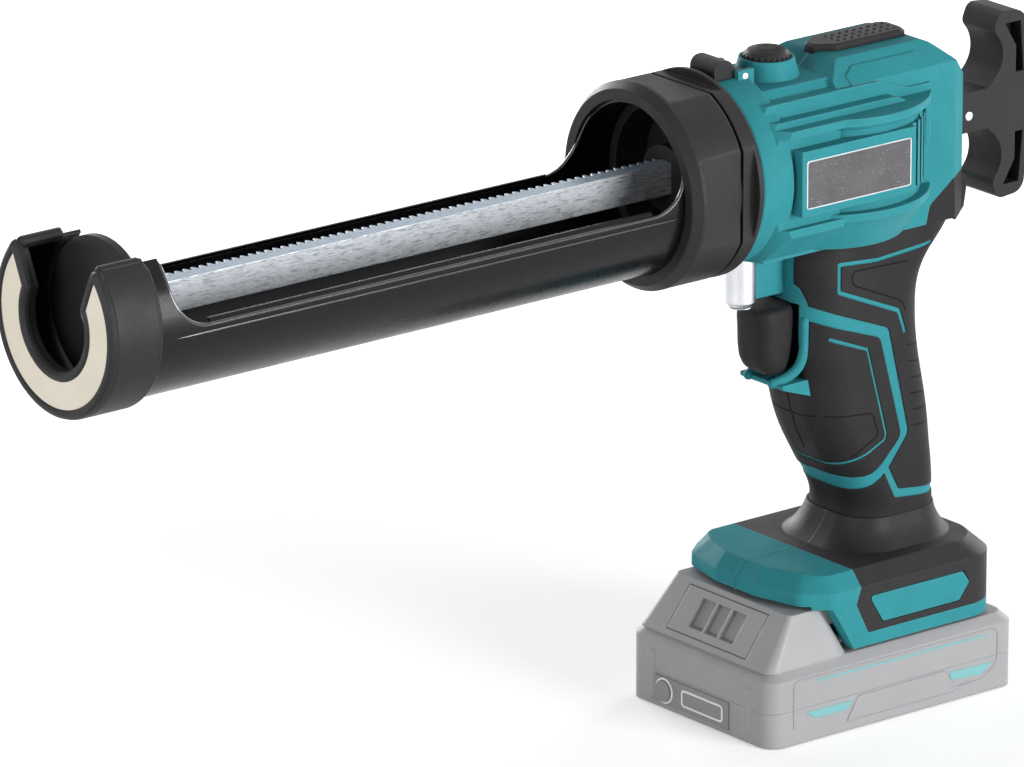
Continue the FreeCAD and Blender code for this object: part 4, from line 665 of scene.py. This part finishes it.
def plate(name: str, outline: np.ndarray, axis: int, low: float, high: float,
          bevel: float) -> bpy.types.Object:
    """A flat plate with slanted edges.

    Its rows are loops around the middle of its outline: a point at the back, the outline at the back, the
    outline just behind the front, the outline shrunk by the bevel at the front, and a point at the front.

    Args:
        name: the object's name.
        outline: an array of points with the two coordinates across the plate.
        axis: which coordinate the plate's thickness runs along.
        low: that coordinate at the back.
        high: that coordinate at the front.
        bevel: how far the edges slant.

    Returns:
        The new object.
    """
    middle = (outline.min(axis=0) + outline.max(axis=0)) / 2
    half = (outline.max(axis=0) - outline.min(axis=0)) / 2
    share = np.stack([np.zeros(2), np.ones(2), np.ones(2), 1 - bevel / half, np.zeros(2)])
    flat = middle + (outline - middle)[None] * share[:, None]
    depth = np.array([low, low, high - math.copysign(bevel, high - low), high, high])
    points = np.insert(flat, axis, np.broadcast_to(depth[:, None], flat.shape[:2]), axis=2)
    return surface(name, points, close_columns=True)


def triangles(node: str) -> np.ndarray:
    """A solid's triangles.

    Args:
        node: the solid's name.

    Returns:
        An array of three corners for each triangle.
    """
    mesh = frame["nodes"][node].data
    mesh.calc_loop_triangles()
    places = np.empty(len(mesh.vertices) * 3)
    mesh.vertices.foreach_get("co", places)
    corners = np.empty(len(mesh.loop_triangles) * 3, dtype=np.int32)
    mesh.loop_triangles.foreach_get("vertices", corners)
    return places.reshape(-1, 3)[corners.reshape(-1, 3)]


def box(node: str) -> tuple[np.ndarray, np.ndarray]:
    """A solid's lowest and highest coordinates."""
    corners = triangles(node).reshape(-1, 3)
    return corners.min(axis=0), corners.max(axis=0)


def rectangle(low: np.ndarray, high: np.ndarray) -> np.ndarray:
    """The four corners of a rectangle, from its lowest and highest coordinates."""
    return np.array([low, (high[0], low[1]), high, (low[0], high[1])])


def drape(points: np.ndarray, nodes: tuple[str, ...], axis: int, side: int) -> np.ndarray:
    """Lay points on the outside of solids by moving them along one axis.

    Every triangle is seen along the axis. A point that lies inside one takes the height that its shares of
    the three corners give, and the outermost height of all such triangles counts.

    Args:
        points: an array of points, whose coordinate along the axis is not read.
        nodes: the solids to lay them on.
        axis: the coordinate that moves.
        side: 1 for the side with the higher coordinate, -1 for the other.

    Returns:
        The points on the solids.
    """
    flat = [place for place in range(3) if place != axis]
    corners = np.concatenate([triangles(node) for node in nodes])
    near = (corners[:, :, flat].max(axis=1) >= points[:, flat].min(axis=0)).all(axis=1)
    near &= (corners[:, :, flat].min(axis=1) <= points[:, flat].max(axis=0)).all(axis=1)
    base = corners[near, 0]
    first = corners[near, 1] - base
    second = corners[near, 2] - base
    gap = points[:, None, flat] - base[None, :, flat]
    with np.errstate(divide="ignore", invalid="ignore"):
        area = first[:, flat[0]] * second[:, flat[1]] - first[:, flat[1]] * second[:, flat[0]]
        along = (gap[..., 0] * second[:, flat[1]] - gap[..., 1] * second[:, flat[0]]) / area
        across = (first[:, flat[0]] * gap[..., 1] - first[:, flat[1]] * gap[..., 0]) / area
        height = base[:, axis] + along * first[:, axis] + across * second[:, axis]
        inside = (along >= -EDGE_SHARE) & (across >= -EDGE_SHARE) & (along + across <= 1 + EDGE_SHARE)
    laid = points.copy()
    laid[:, axis] = side * np.where(inside, side * height, -np.inf).max(axis=1)
    return laid


def table(**rows: object) -> Any:
    """A dataclass field whose value is a fresh dictionary of the given rows."""
    return field(default_factory=lambda: dict(rows))


@dataclass
class SubAssembly:
    """Pieces that belong together: solids to dress, and new surfaces that ride with them."""

    palette: Palette
    body: str = "housing"
    shells: dict[str, Slot] = table()
    hidden: dict[str, Slot] = table()
    rounded: dict[str, float] = table()

    def build(self) -> None:
        """Dress the solids and add the new surfaces."""
        self.dress()
        self.detail()

    def dress(self) -> None:
        """Replace the solids that show by smooth copies and paint the ones inside."""
        for node, slot in self.shells.items():
            self.settle(smooth_copy(node, self.rounded.get(node, 0.0)), slot, node)
        for node, slot in self.hidden.items():
            self.palette.paint(frame["nodes"][node], slot)
            log.info("%s painted %s", node, slot.value)

    def detail(self) -> None:
        """Add the new surfaces; a plain assembly has none."""

    def settle(self, piece: bpy.types.Object, slot: Slot, *nodes: str, body: str = "") -> None:
        """Paint a piece, let it ride its body and stand for the solids that it replaces.

        Args:
            piece: the finished object.
            slot: its finish.
            nodes: the solids that it stands for.
            body: the body that it rides, if that is neither the solids' own nor the sub-assembly's.
        """
        self.palette.paint(piece, slot)
        body = body_of(frame["nodes"][nodes[0]])[0] if nodes else body or self.body
        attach(piece, body)
        if nodes:
            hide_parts(*nodes)
        log.info("%s rides %s in %s", piece.name, body, slot.value)


@dataclass
class BarrelUnit(SubAssembly):
    """The half-open barrel with its slotted front cap and its collar."""

    body: str = "barrel"
    shells: dict[str, Slot] = table(
        barrel=Slot.BARREL, front_cap=Slot.BLACK, cap_ring=Slot.IVORY, collar=Slot.BLACK)
    rounded: dict[str, float] = table(front_cap=1.4 * MM)
    radius: float = 28.0 * MM
    fold_drop: float = 3.1 * MM
    fold_front: float = -281.0 * MM
    fold_rear: float = -82.0 * MM
    fold_radius: float = 0.4 * MM
    fold_points: int = 80
    trough_front: float = -282.0 * MM
    trough_rear: float = -81.0 * MM
    trough_level: float = -1.1 * MM
    trough_corner: float = 14.0 * MM
    trough_points: int = 24
    rim_reach: float = 27.5 * MM
    rim_high: float = 19.5 * MM
    rim_radius: float = 0.7 * MM
    rim_bend: float = 0.2 * MM
    lip_place: float = -305.0 * MM
    lip_radius: float = 2.0 * MM
    lip_bend: float = 3.0 * MM
    lip_outer: tuple[float, float, int] = (28.0 * MM, 50.0, 64)
    lip_inner: tuple[float, float, int] = (16.8 * MM, 61.8, 48)
    lip_horn: tuple[Place, ...] = ((20.5, 19.9), (18.9, 17.2), (15.2, 8.8))
    horn_across: float = 19.6 * MM
    horn_rise: float = 20.3 * MM
    horn_points: int = 40
    shoulder: tuple[float, float, int] = (28.9 * MM, 44.0, 120)
    shoulder_place: float = -288.4 * MM
    shoulder_radius: float = 1.1 * MM

    def detail(self) -> None:
        """Add the fold and the rim along both sides of the barrel and round off the front cap's edges.

        A fold is a straight bead where the tube's circle lies the fold's drop below the axis. An edge of a
        horn is a straight bead along X.
        """
        across = math.sqrt(self.radius ** 2 - self.fold_drop ** 2)
        for name, side in SIDES.items():
            end = (side * across, AXIS_HEIGHT - self.fold_drop)
            path = np.linspace((self.fold_front, *end), (self.fold_rear, *end), self.fold_points)
            self.settle(bead(f"barrel_fold_{name}", path, Z_AXIS, self.fold_radius), Slot.FOLD)
            path = self.rim_path(side)
            self.settle(bead(f"trough_rim_{name}", path, Y_AXIS, self.rim_radius), Slot.FOLD)
            end = (side * self.horn_across, AXIS_HEIGHT + self.horn_rise)
            path = np.linspace((self.lip_place, *end), (self.shoulder_place, *end), self.horn_points)
            self.settle(bead(f"horn_edge_{name}", path, Z_AXIS, self.lip_radius), Slot.BLACK)
        self.settle(bead("cap_lip", self.lip_path(), X_AXIS, self.lip_radius, True), Slot.BLACK)
        path = np.insert(self.arc(*self.shoulder), 0, self.shoulder_place, axis=1)
        self.settle(bead("cap_shoulder", path, X_AXIS, self.shoulder_radius), Slot.BLACK)

    @staticmethod
    def arc(reach: float, start: float, count: int) -> np.ndarray:
        """Points of a circle around the axis, open at the top.

        Args:
            reach: the circle's radius.
            start: how many degrees from the top it starts and ends.
            count: how many points it has.

        Returns:
            An array of Y and Z.
        """
        turn = np.radians(np.linspace(start, 360.0 - start, count))
        return np.stack([reach * np.sin(turn), AXIS_HEIGHT + reach * np.cos(turn)], axis=-1)

    def rim_path(self, side: int) -> np.ndarray:
        """The edge of the barrel's opening on one side.

        In a side view it runs down the front end, round a quarter circle, along the level edge, round a
        second quarter circle and up the rear end. Each point then lies on a circle inside the tube's wall.

        Args:
            side: 1 or -1, as the sign of Y.

        Returns:
            An array of points.
        """
        bend = np.linspace(np.pi, 1.5 * np.pi, self.trough_points)
        reach = self.trough_corner * (1 + np.cos(bend))
        drop = self.trough_level + self.trough_corner * (1 + np.sin(bend))
        front = np.stack([self.trough_front + reach, drop], axis=-1)
        rear = np.stack([self.trough_rear - reach, drop], axis=-1)[::-1]
        first = np.array([[self.trough_front, self.rim_high]])
        last = np.array([[self.trough_rear, self.rim_high]])
        corners = np.concatenate([first, front, rear, last])
        line = rounded_line(corners, self.rim_bend, FINE_STEP, False)
        across = side * np.sqrt(self.rim_reach ** 2 - line[:, 1] ** 2)
        return np.stack([line[:, 0], across, AXIS_HEIGHT + line[:, 1]], axis=-1)

    def lip_path(self) -> np.ndarray:
        """The edge of the cap's face.

        It runs round the outside, over one horn, round the nozzle hole and over the other horn.

        Returns:
            An array of points.
        """
        horn = np.array(self.lip_horn) * MM
        left = horn * (-1.0, 1.0) + (0.0, AXIS_HEIGHT)
        right = horn[::-1] + (0.0, AXIS_HEIGHT)
        hole = self.arc(*self.lip_inner)[::-1]
        loop = np.concatenate([self.arc(*self.lip_outer), left, hole, right])
        return np.insert(rounded_line(loop, self.lip_bend, FINE_STEP, True), 0, self.lip_place, axis=1)


@dataclass
class RackUnit(SubAssembly):
    """The toothed rack with its pusher plate and pull handle."""

    body: str = "rack"
    shells: dict[str, Slot] = table(rack=Slot.RACK, pusher_plate=Slot.BLACK, pull_handle=Slot.BLACK)
    hidden: dict[str, Slot] = table(pusher_screw=Slot.SILVER, pull_pin=Slot.SILVER)
    rounded: dict[str, float] = table(pull_handle=1.2 * MM)


@dataclass
class HousingUnit(SubAssembly):
    """The stepped clamshell body with its guide and rear cover."""

    shells: dict[str, Slot] = table(
        housing_left=Slot.TEAL, housing_right=Slot.TEAL, rear_cover=Slot.TEAL,
        name_plate_left=Slot.PLATE, name_plate_right=Slot.PLATE, rack_guide=Slot.BLACK,
        work_light=Slot.SILVER)
    hidden: dict[str, Slot] = table(
        housing_screws=Slot.SILVER, light_lens=Slot.LENS, latch_pin=Slot.SILVER)
    foot_profile: Route = Route(((-37.5, 41.2), (-37.5, 46.5), (-33.0, 51.5), (-13.6, 51.5)), 0.8, 0.6)
    joint_radius: float = 0.24 * MM
    web: Route = Route(((-31.6, 139.0), (-18.0, 139.0), (-18.0, 158.0), (-31.6, 158.0)), 0.5, 1.0, True)
    web_half: float = 2.2 * MM
    web_bevel: float = 0.3 * MM
    lip: Route = Route(((-17.9, 10.6, 133.0), (-17.8, 10.4, 122.0), (-18.6, 9.4, 116.4),
                        (-21.6, 7.6, 112.6), (-27.0, 6.4, 110.9), (-29.0, 5.0, 110.8)), 3.0, 0.6)
    lip_radius: float = 1.7 * MM
    plate_highlight_radius: float = 0.22 * MM
    plate_highlight_bend: float = 0.5 * MM
    plate_highlight_step: float = 0.8 * MM

    def detail(self) -> None:
        """Add the foot's middle joint, a web behind the lamp, trigger lips and a painted edge highlight
        round each name plate.

        The joint is a bead along the foot's side view at Y = 0, and the web is a flat plate on both sides
        of that plane. Each lip is a bead that curls from beside the trigger to under it, and each name
        plate's highlight is a silver bead along its plate's outline, a painted highlight where the plate's
        edge catches light.
        """
        path = np.insert(self.foot_profile.points(), 1, 0.0, axis=1)
        self.settle(bead("foot_joint", path, Y_AXIS, self.joint_radius), Slot.TEAL)
        web = plate("lamp_web", self.web.points(), 1, self.web_half, -self.web_half, self.web_bevel)
        self.settle(web, Slot.TEAL)
        for name, side in SIDES.items():
            curve = self.lip.points(1, side, 1)
            self.settle(bead(f"trigger_lip_{name}", curve, Y_AXIS, self.lip_radius), Slot.TEAL)
            # Painted highlight: a silver bead round each name plate stands for light caught on the plate's
            # edge.
            low, high = box(f"name_plate_{name}")
            corners = rectangle(low[[0, 2]], high[[0, 2]])
            outline = rounded_line(corners, self.plate_highlight_bend, self.plate_highlight_step, True)
            path = np.insert(outline, 1, max(high[1], -low[1]) * side, axis=1)
            rim = bead(f"name_plate_edge_highlight_{name}", path, Y_AXIS, self.plate_highlight_radius, True)
            self.settle(rim, Slot.SILVER)


@dataclass
class ControlUnit(SubAssembly):
    """The trigger, the speed dial, the release pad and the barrel latch."""

    shells: dict[str, Slot] = table(
        speed_dial=Slot.BLACK, release_pad=Slot.BLACK, barrel_latch=Slot.BLACK)
    rounded: dict[str, float] = table(barrel_latch=0.9 * MM)
    trigger_sections: tuple[Place, ...] = (
        (112.5, -25.6, -23.0, 3.4), (113.4, -28.4, -21.6, 5.6), (115.2, -30.9, -20.6, 7.0),
        (118.5, -32.4, -19.6, 7.9), (123.0, -32.9, -19.0, 8.3), (128.0, -32.9, -18.6, 8.5),
        (132.0, -33.3, -18.4, 8.5), (134.4, -33.2, -18.4, 8.2), (135.6, -32.4, -18.6, 7.6),
        (136.1, -31.0, -19.0, 6.8))
    trigger_power: float = 3.2
    trigger_blend: Place = (1.0, 2.0, 3.0, 4.0, 3.0, 2.0, 1.0)
    trigger_grid: tuple[int, int] = (64, 72)
    dial_reach: float = 6.9 * MM
    dial_fade: int = 8
    dial_grid: tuple[int, int] = (48, 216)
    ridge_pitch: float = 1.1 * MM
    ridge_height: float = 0.3 * MM
    dot_pitch: float = 3.0 * MM
    dot_radius: float = 0.85 * MM
    dot_height: float = 0.4 * MM
    dot_sink: float = 0.15 * MM
    dot_area: tuple[float, float, float] = (1.0 * MM, 25.0 * MM, 4.5 * MM)
    dot_grid: tuple[int, int] = (201, 76)

    def detail(self) -> None:
        """Add the rounded trigger, the dial's ridges and the pad's dots."""
        self.settle(self.shape_trigger(), Slot.GRIP, "trigger")
        self.settle(self.ridge_dial(), Slot.BLACK, body="dial")
        self.settle(self.dot_pad(), Slot.BLACK, body="pad")

    def shape_trigger(self) -> bpy.types.Object:
        """The trigger with all its edges rounded.

        Its level sections are super-ellipses between a front and a rear. The listed heights, ends and half
        widths are joined by straight runs, which a weighted mean then smooths, and a middle point closes it
        above and below.

        Returns:
            The new object.
        """
        rows, columns = self.trigger_grid
        listed = np.array(self.trigger_sections) * MM
        share = np.linspace(0.0, 1.0, len(listed))
        fine = np.linspace(0.0, 1.0, rows)
        blend = np.array(self.trigger_blend) / sum(self.trigger_blend)
        curves = [np.pad(np.interp(fine, share, column), len(blend) // 2, "edge") for column in listed.T]
        height, front, rear, half = [np.convolve(curve, blend, "valid") for curve in curves]
        angle = np.linspace(0.0, 2 * np.pi, columns, endpoint=False)[None, :]
        power = 2 / self.trigger_power
        bent = [np.sign(wave) * np.abs(wave) ** power for wave in (np.cos(angle), np.sin(angle))]
        along = ((front + rear) / 2)[:, None] + ((rear - front) / 2)[:, None] * bent[0]
        level = np.broadcast_to(height[:, None], along.shape)
        points = np.stack([along, half[:, None] * bent[1], level], axis=-1)
        ends = np.broadcast_to(points.mean(axis=1, keepdims=True), points.shape)
        return surface("trigger_shell", np.concatenate([ends[:1], points, ends[-1:]]), close_columns=True)

    def ridge_dial(self) -> bpy.types.Object:
        """Ridges across the dial's top.

        A grid of radius and angle is laid on the dial's dome and lifted by a cosine wave across X, which
        fades out towards the rim. The rim is then led down into the dial, and a middle point closes it
        underneath.

        Returns:
            The new object.
        """
        rows, columns = self.dial_grid
        low, high = box("speed_dial")
        middle = (low + high) / 2
        radius = np.linspace(0.0, self.dial_reach, rows)[:, None]
        angle = np.linspace(0.0, 2 * np.pi, columns, endpoint=False)[None, :]
        across = radius * np.cos(angle)
        flat = [middle[0] + across, middle[1] + radius * np.sin(angle), np.zeros_like(across)]
        grid = np.stack(flat, axis=-1)
        top = drape(grid.reshape(-1, 3), ("speed_dial",), 2, 1).reshape(grid.shape)
        fade = 1 - (radius / self.dial_reach) ** self.dial_fade
        wave = 0.5 + 0.5 * np.cos(2 * np.pi * across / self.ridge_pitch)
        top[..., 2] += self.ridge_height * fade * wave
        rim = top[-1:] - np.array([0.0, 0.0, 2 * self.ridge_height])
        base = np.broadcast_to([middle[0], middle[1], rim[..., 2].min()], rim.shape)
        return surface("dial_ridges", np.concatenate([top, rim, base]), close_columns=True)

    def dot_pad(self) -> bpy.types.Object:
        """Raised dots on the release pad.

        A level grid lies just inside the pad's top and swells to a round cap over each dot's middle. A
        second grid below it, which meets the first one along both sides, closes it.

        Returns:
            The new object.
        """
        front, rear, half = self.dot_area
        rows, columns = self.dot_grid
        sides = (np.linspace(front, rear, rows), np.linspace(-half, half, columns))
        along, across = np.meshgrid(*sides, indexing="ij")
        pitch = self.dot_pitch
        far = [(place + pitch / 2) % pitch - pitch / 2 for place in (along - front, across)]
        swell = np.sqrt(np.clip(1 - (far[0] ** 2 + far[1] ** 2) / self.dot_radius ** 2, 0.0, 1.0))
        swell[[0, -1]] = 0.0
        swell[:, [0, -1]] = 0.0
        level = np.full_like(along, box("release_pad")[1][2] - self.dot_sink)
        thick = np.full_like(along, self.dot_sink)
        thick[:, [0, -1]] = 0.0
        upper = np.stack([along, across, level + (self.dot_sink + self.dot_height) * swell], axis=-1)
        lower = np.stack([along, across, level - thick], axis=-1)
        return surface("pad_dots", np.concatenate([upper, lower[::-1]]), close_rows=True)


@dataclass
class HandleUnit(SubAssembly):
    """The soft grip and the foot that holds the battery."""

    shells: dict[str, Slot] = table(
        grip_left=Slot.GRIP, grip_right=Slot.GRIP, foot_cover_left=Slot.BLACK,
        foot_cover_right=Slot.BLACK, foot_plate_left=Slot.TEAL, foot_plate_right=Slot.TEAL)
    line_radius: float = 0.3 * MM
    line_sink: float = 0.1 * MM
    line_bend: float = 2.0
    line_step: float = 0.5
    side_lines: dict[str, tuple[Place, ...]] = table(
        upper_line=((20.0, 146.0), (-4.6, 146.8), (-4.6, 142.4), (16.5, 133.1), (18.6, 129.0)),
        palm_line=((-12.2, 98.5), (-2.8, 98.3), (4.6, 97.6), (7.3, 89.6), (0.2, 86.1), (-2.6, 83.0)),
        rib_1=((18.4, 117.8), (27.2, 116.0)), rib_2=((18.8, 112.3), (27.6, 110.3)),
        rib_3=((20.1, 106.6), (28.2, 104.9)), rib_4=((20.0, 101.2), (28.8, 99.8)),
        rib_5=((20.9, 95.5), (29.6, 94.4)), rib_6=((20.9, 90.1), (30.2, 89.2)))
    front_lines: dict[str, tuple[Place, ...]] = table(
        front_joint=((-0.05, 109.5), (-0.05, 84.0)),
        palm_front=((-11.6, 98.5), (-5.0, 97.4), (5.0, 97.4), (11.6, 98.5)))

    def detail(self) -> None:
        """Add the dark lines along the grooves that divide the grip; their near-black colour is painted
        groove shade.

        Each line is drawn in a side view or a front view and laid on the grip from that side, and a bead
        that is sunk a little runs along it.
        """
        for name, side in SIDES.items():
            nodes = (f"grip_{name}", f"housing_{name}")
            for label, corners in self.side_lines.items():
                flat = Route(corners, self.line_bend, self.line_step).points()
                path = drape(np.insert(flat, 1, 0.0, axis=1), nodes, 1, side)
                path[:, 1] -= side * self.line_sink
                self.settle(bead(f"{label}_{name}", path, Y_AXIS, self.line_radius), Slot.SEAM)
        for label, corners in self.front_lines.items():
            flat = Route(corners, self.line_bend, self.line_step).points()
            path = drape(np.insert(flat, 0, 0.0, axis=1), ("grip_left", "grip_right"), 0, -1)
            path[:, 0] += self.line_sink
            self.settle(bead(label, path, X_AXIS, self.line_radius), Slot.SEAM)


@dataclass
class DriveUnit(SubAssembly):
    """Motor, gears and electronics inside the housing."""

    hidden: dict[str, Slot] = table(
        gear_plate_lower=Slot.GEAR, gear_plate_upper=Slot.GEAR, rack_shoe=Slot.IVORY,
        motor_end_bell=Slot.BLACK, motor_can=Slot.MOTOR, gearbox_case=Slot.MOTOR,
        switch_body=Slot.BLACK, control_board=Slot.BOARD, speed_sensor=Slot.BLACK,
        terminal_block=Slot.BLACK, terminal_blades=Slot.BRASS, pinion=Slot.GEAR, pinion_shaft=Slot.GEAR,
        driven_gear=Slot.GEAR, drive_gear=Slot.GEAR, drive_shaft=Slot.GEAR)


@dataclass
class BatteryUnit(SubAssembly):
    """The slide-on battery with its release key and charge gauge."""

    body: str = "battery"
    shells: dict[str, Slot] = table(
        battery_tray=Slot.BATTERY, battery_lid=Slot.BATTERY, battery_key=Slot.BATTERY,
        charge_panel=Slot.PANEL, charge_button=Slot.PANEL)
    hidden: dict[str, Slot] = table(
        battery_cells=Slot.CELL, battery_board=Slot.BOARD, charge_gauge=Slot.PANEL)
    half_width: float = 35.6 * MM
    sunk_share: float = 0.99
    line_radius: float = 0.38 * MM
    stripe_height: float = 0.18 * MM
    stripe_bevel: float = 0.05 * MM
    stripe_bend: float = 0.2
    stripe_step: float = 0.6
    stripes: dict[str, tuple[Place, ...]] = table(
        upper_stripe=((-33.0, 19.6), (39.0, 19.0), (39.0, 19.7), (-33.0, 20.3)),
        front_stripe=((-37.3, 10.1), (-33.8, 7.4), (-19.8, 7.2), (-17.7, 9.8)),
        rear_stripe=((23.2, 10.1), (24.3, 7.2), (36.8, 6.4), (42.3, 9.6)))
    block: Route = Route(((-20.6, 3.0), (26.4, 3.0), (21.6, 11.2), (-15.6, 11.0)), 1.2, 0.6, True)
    block_height: float = 0.5 * MM
    block_bevel: float = 0.4 * MM
    side_frame: Route = Route(((-42.5, 5.0), (-42.5, 21.4), (44.0, 21.0), (44.0, 9.0), (38.0, 4.6),
                               (27.0, 4.6)), 2.5, 0.8)
    pillar_place: tuple[float, float] = (-48.2 * MM, 24.0 * MM)
    pillar_radius: float = 4.8 * MM
    pillar_low: float = 0.3 * MM
    pillar_high: float = 21.0 * MM
    pillar_points: int = 24
    ring_points: int = 64
    gauge_bend: float = 1.2 * MM
    gauge_step: float = 0.6 * MM

    def detail(self) -> None:
        """Add the side stripes, the raised block, the side frame, the corner pillars and the gauge lines.

        Stripes and block are flat plates on the battery's side, the frame and the gauge lines are beads
        along rounded outlines, and each pillar is a thick upright bead that stands half in the corner.
        """
        for name, side in SIDES.items():
            face = side * self.half_width
            back = face * self.sunk_share
            front = face + side * self.stripe_height
            for label, corners in self.stripes.items():
                outline = Route(corners, self.stripe_bend, self.stripe_step, True).points()
                stripe = plate(f"{label}_{name}", outline, 1, back, front, self.stripe_bevel)
                self.settle(stripe, Slot.PALE_STRIPE)
            front = face + side * self.block_height
            raised = plate(f"side_block_{name}", self.block.points(), 1, back, front, self.block_bevel)
            self.settle(raised, Slot.BATTERY)
            path = np.insert(self.side_frame.points(), 1, face, axis=1)
            self.settle(bead(f"side_frame_{name}", path, Y_AXIS, self.line_radius), Slot.BATTERY)
            foot = (self.pillar_place[0], side * self.pillar_place[1])
            path = np.linspace((*foot, self.pillar_low), (*foot, self.pillar_high), self.pillar_points)
            self.settle(bead(f"corner_pillar_{name}", path, X_AXIS, self.pillar_radius), Slot.BATTERY)
        self.outline_gauge()

    def outline_gauge(self) -> None:
        """Add a ring around the charge button and a frame around the gauge.

        Each is a bead on the charge panel. The ring's points lie on a circle a little wider than the button,
        and the frame follows the gauge's edge.
        """
        face = box("charge_panel")[0][0]
        low, high = box("charge_button")
        angle = np.linspace(0.0, 2 * np.pi, self.ring_points, endpoint=False)
        reach = (high[1] - low[1]) / 2 + self.line_radius
        ring = np.stack([np.full_like(angle, face), (low[1] + high[1]) / 2 + reach * np.cos(angle),
                         (low[2] + high[2]) / 2 + reach * np.sin(angle)], axis=-1)
        self.settle(bead("button_ring", ring, X_AXIS, self.line_radius, True), Slot.WHITE_LINE)
        low, high = box("charge_gauge")
        outline = rounded_line(rectangle(low[1:], high[1:]), self.gauge_bend, self.gauge_step, True)
        path = np.insert(outline, 0, face, axis=1)
        self.settle(bead("gauge_frame", path, X_AXIS, self.line_radius, True), Slot.WHITE_LINE)


@dataclass
class Lamp:
    """One soft rectangular lamp aimed at the tool."""

    name: str
    place: tuple[float, float, float]
    across: float
    power: float
    aim: tuple[float, float, float] = (-0.1, 0.0, 0.12)

    def build(self) -> None:
        """Hang the lamp."""
        light = bpy.data.lights.new(self.name, "AREA")
        light.size = self.across
        light.energy = self.power
        lamp = bpy.data.objects.new(self.name, light)
        lamp.location = self.place
        towards = np.array(self.aim) - np.array(self.place)
        lamp.rotation_euler = (math.atan2(math.hypot(*towards[:2]), -towards[2]), 0.0,
                               math.atan2(-towards[0], towards[1]))
        bpy.context.scene.collection.objects.link(lamp)


@dataclass
class Studio:
    """Pale floor, soft lamps and the camera at the photograph's angle."""

    floor_half: float = 6.0
    floor_drop: float = 0.0004
    floor_colour: Colour = (238, 238, 238)
    floor_roughness: float = 0.7
    floor_specular: float = 0.1
    floor_lift: float = 0.4
    floor_clear: tuple[float, float] = (0.35, 0.9)
    world_strength: float = 0.15
    camera_place: tuple[float, float, float] = (-2.014312, -2.338356, 1.106821)
    camera_turn: float = 38.872
    camera_dip: float = 18.01
    focal_pixels: float = 10090.549
    image_width: int = 1024
    sensor: float = 36.0
    camera_reach: float = 100.0
    lamps: tuple[Lamp, ...] = (
        Lamp("key_lamp", (0.45, -1.75, 0.48), 0.9, 36.0),
        Lamp("top_lamp", (0.1, 0.3, 1.7), 1.4, 0.6),
        Lamp("front_lamp", (-1.9, -0.35, 0.6), 1.0, 15.0),
        Lamp("rear_lamp", (1.6, 0.4, 0.6), 0.9, 10.0),
        Lamp("far_lamp", (0.2, 1.75, 0.5), 0.9, 20.0),
    )

    def build(self) -> None:
        """Set up everything around the tool."""
        bpy.context.scene.view_settings.view_transform = "Standard"
        self.lay_floor()
        self.light_world()
        for lamp in self.lamps:
            lamp.build()
            log.info("%s lit", lamp.name)
        self.place_camera()

    @staticmethod
    def seen(graph: Graph) -> bpy.types.NodeSocket:
        """A mask of the rays that see the background: from the camera, off gloss and through glass.

        Args:
            graph: the graph of a material or of the world.

        Returns:
            The socket that holds the mask.
        """
        path = graph.add("LightPath").outputs
        bounced = graph.math("MAXIMUM", path["Is Glossy Ray"], path["Is Transmission Ray"])
        return graph.math("MAXIMUM", path["Is Camera Ray"], bounced)

    def lay_floor(self) -> None:
        """Lay a wide floor just under the battery.

        Where a ray sees it directly it is lifted towards white, more so away from the tool and its shadow.
        """
        reach = np.array([-1.0, 1.0]) * self.floor_half
        across, along = np.meshgrid(reach, reach)
        corners = np.stack([across, along, np.full_like(across, -self.floor_drop)], axis=-1)
        floor = surface("studio_floor", corners)
        made = bpy.data.materials.new("studio_floor")
        made.use_nodes = True
        graph = Graph(made.node_tree)
        shader = graph.add("BsdfPrincipled", Base_Color=linear(self.floor_colour),
                           Roughness=self.floor_roughness, Specular_IOR_Level=self.floor_specular,
                           Emission_Color=WHITE)
        away = graph.add("VectorMath", operation="LENGTH")
        graph.join(graph.add("TexCoord").outputs["Object"], away.inputs[0])
        lift = graph.spread(away.outputs["Value"], *self.floor_clear, self.floor_lift, 1.0)
        graph.join(graph.math("MULTIPLY", self.seen(graph), lift), shader.inputs["Emission Strength"])
        graph.join(shader.outputs["BSDF"], graph.add("OutputMaterial").inputs["Surface"])
        floor.data.materials.append(made)

    def light_world(self) -> None:
        """Light evenly from all round, and show white where a ray sees past the floor."""
        world = bpy.data.worlds.new("studio_world")
        bpy.context.scene.world = world
        world.use_nodes = True
        graph = Graph(world.node_tree)
        back = graph.add("Background", Color=WHITE)
        strength = graph.spread(self.seen(graph), 0.0, 1.0, self.world_strength, 1.0)
        graph.join(strength, back.inputs["Strength"])
        graph.join(back.outputs["Background"], graph.add("OutputWorld").inputs["Surface"])

    def place_camera(self) -> None:
        """Stand the camera where the photograph was taken from."""
        lens = bpy.data.cameras.new("photo_camera")
        lens.sensor_width = self.sensor
        lens.lens = self.focal_pixels / self.image_width * self.sensor
        lens.clip_end = self.camera_reach
        camera = bpy.data.objects.new("photo_camera", lens)
        camera.location = self.camera_place
        camera.rotation_euler = (math.radians(90.0 - self.camera_dip), 0.0, math.radians(-self.camera_turn))
        bpy.context.scene.collection.objects.link(camera)
        bpy.context.scene.camera = camera


def main() -> None:
    """Dress the tool from barrel to battery and set up the studio."""
    logging.basicConfig(level=logging.INFO, format="%(name)s: %(message)s")
    palette = Palette()
    for unit in (BarrelUnit, RackUnit, HousingUnit, ControlUnit, HandleUnit, DriveUnit, BatteryUnit):
        unit(palette).build()
    Studio().build()


if __name__ == "__main__":
    main()
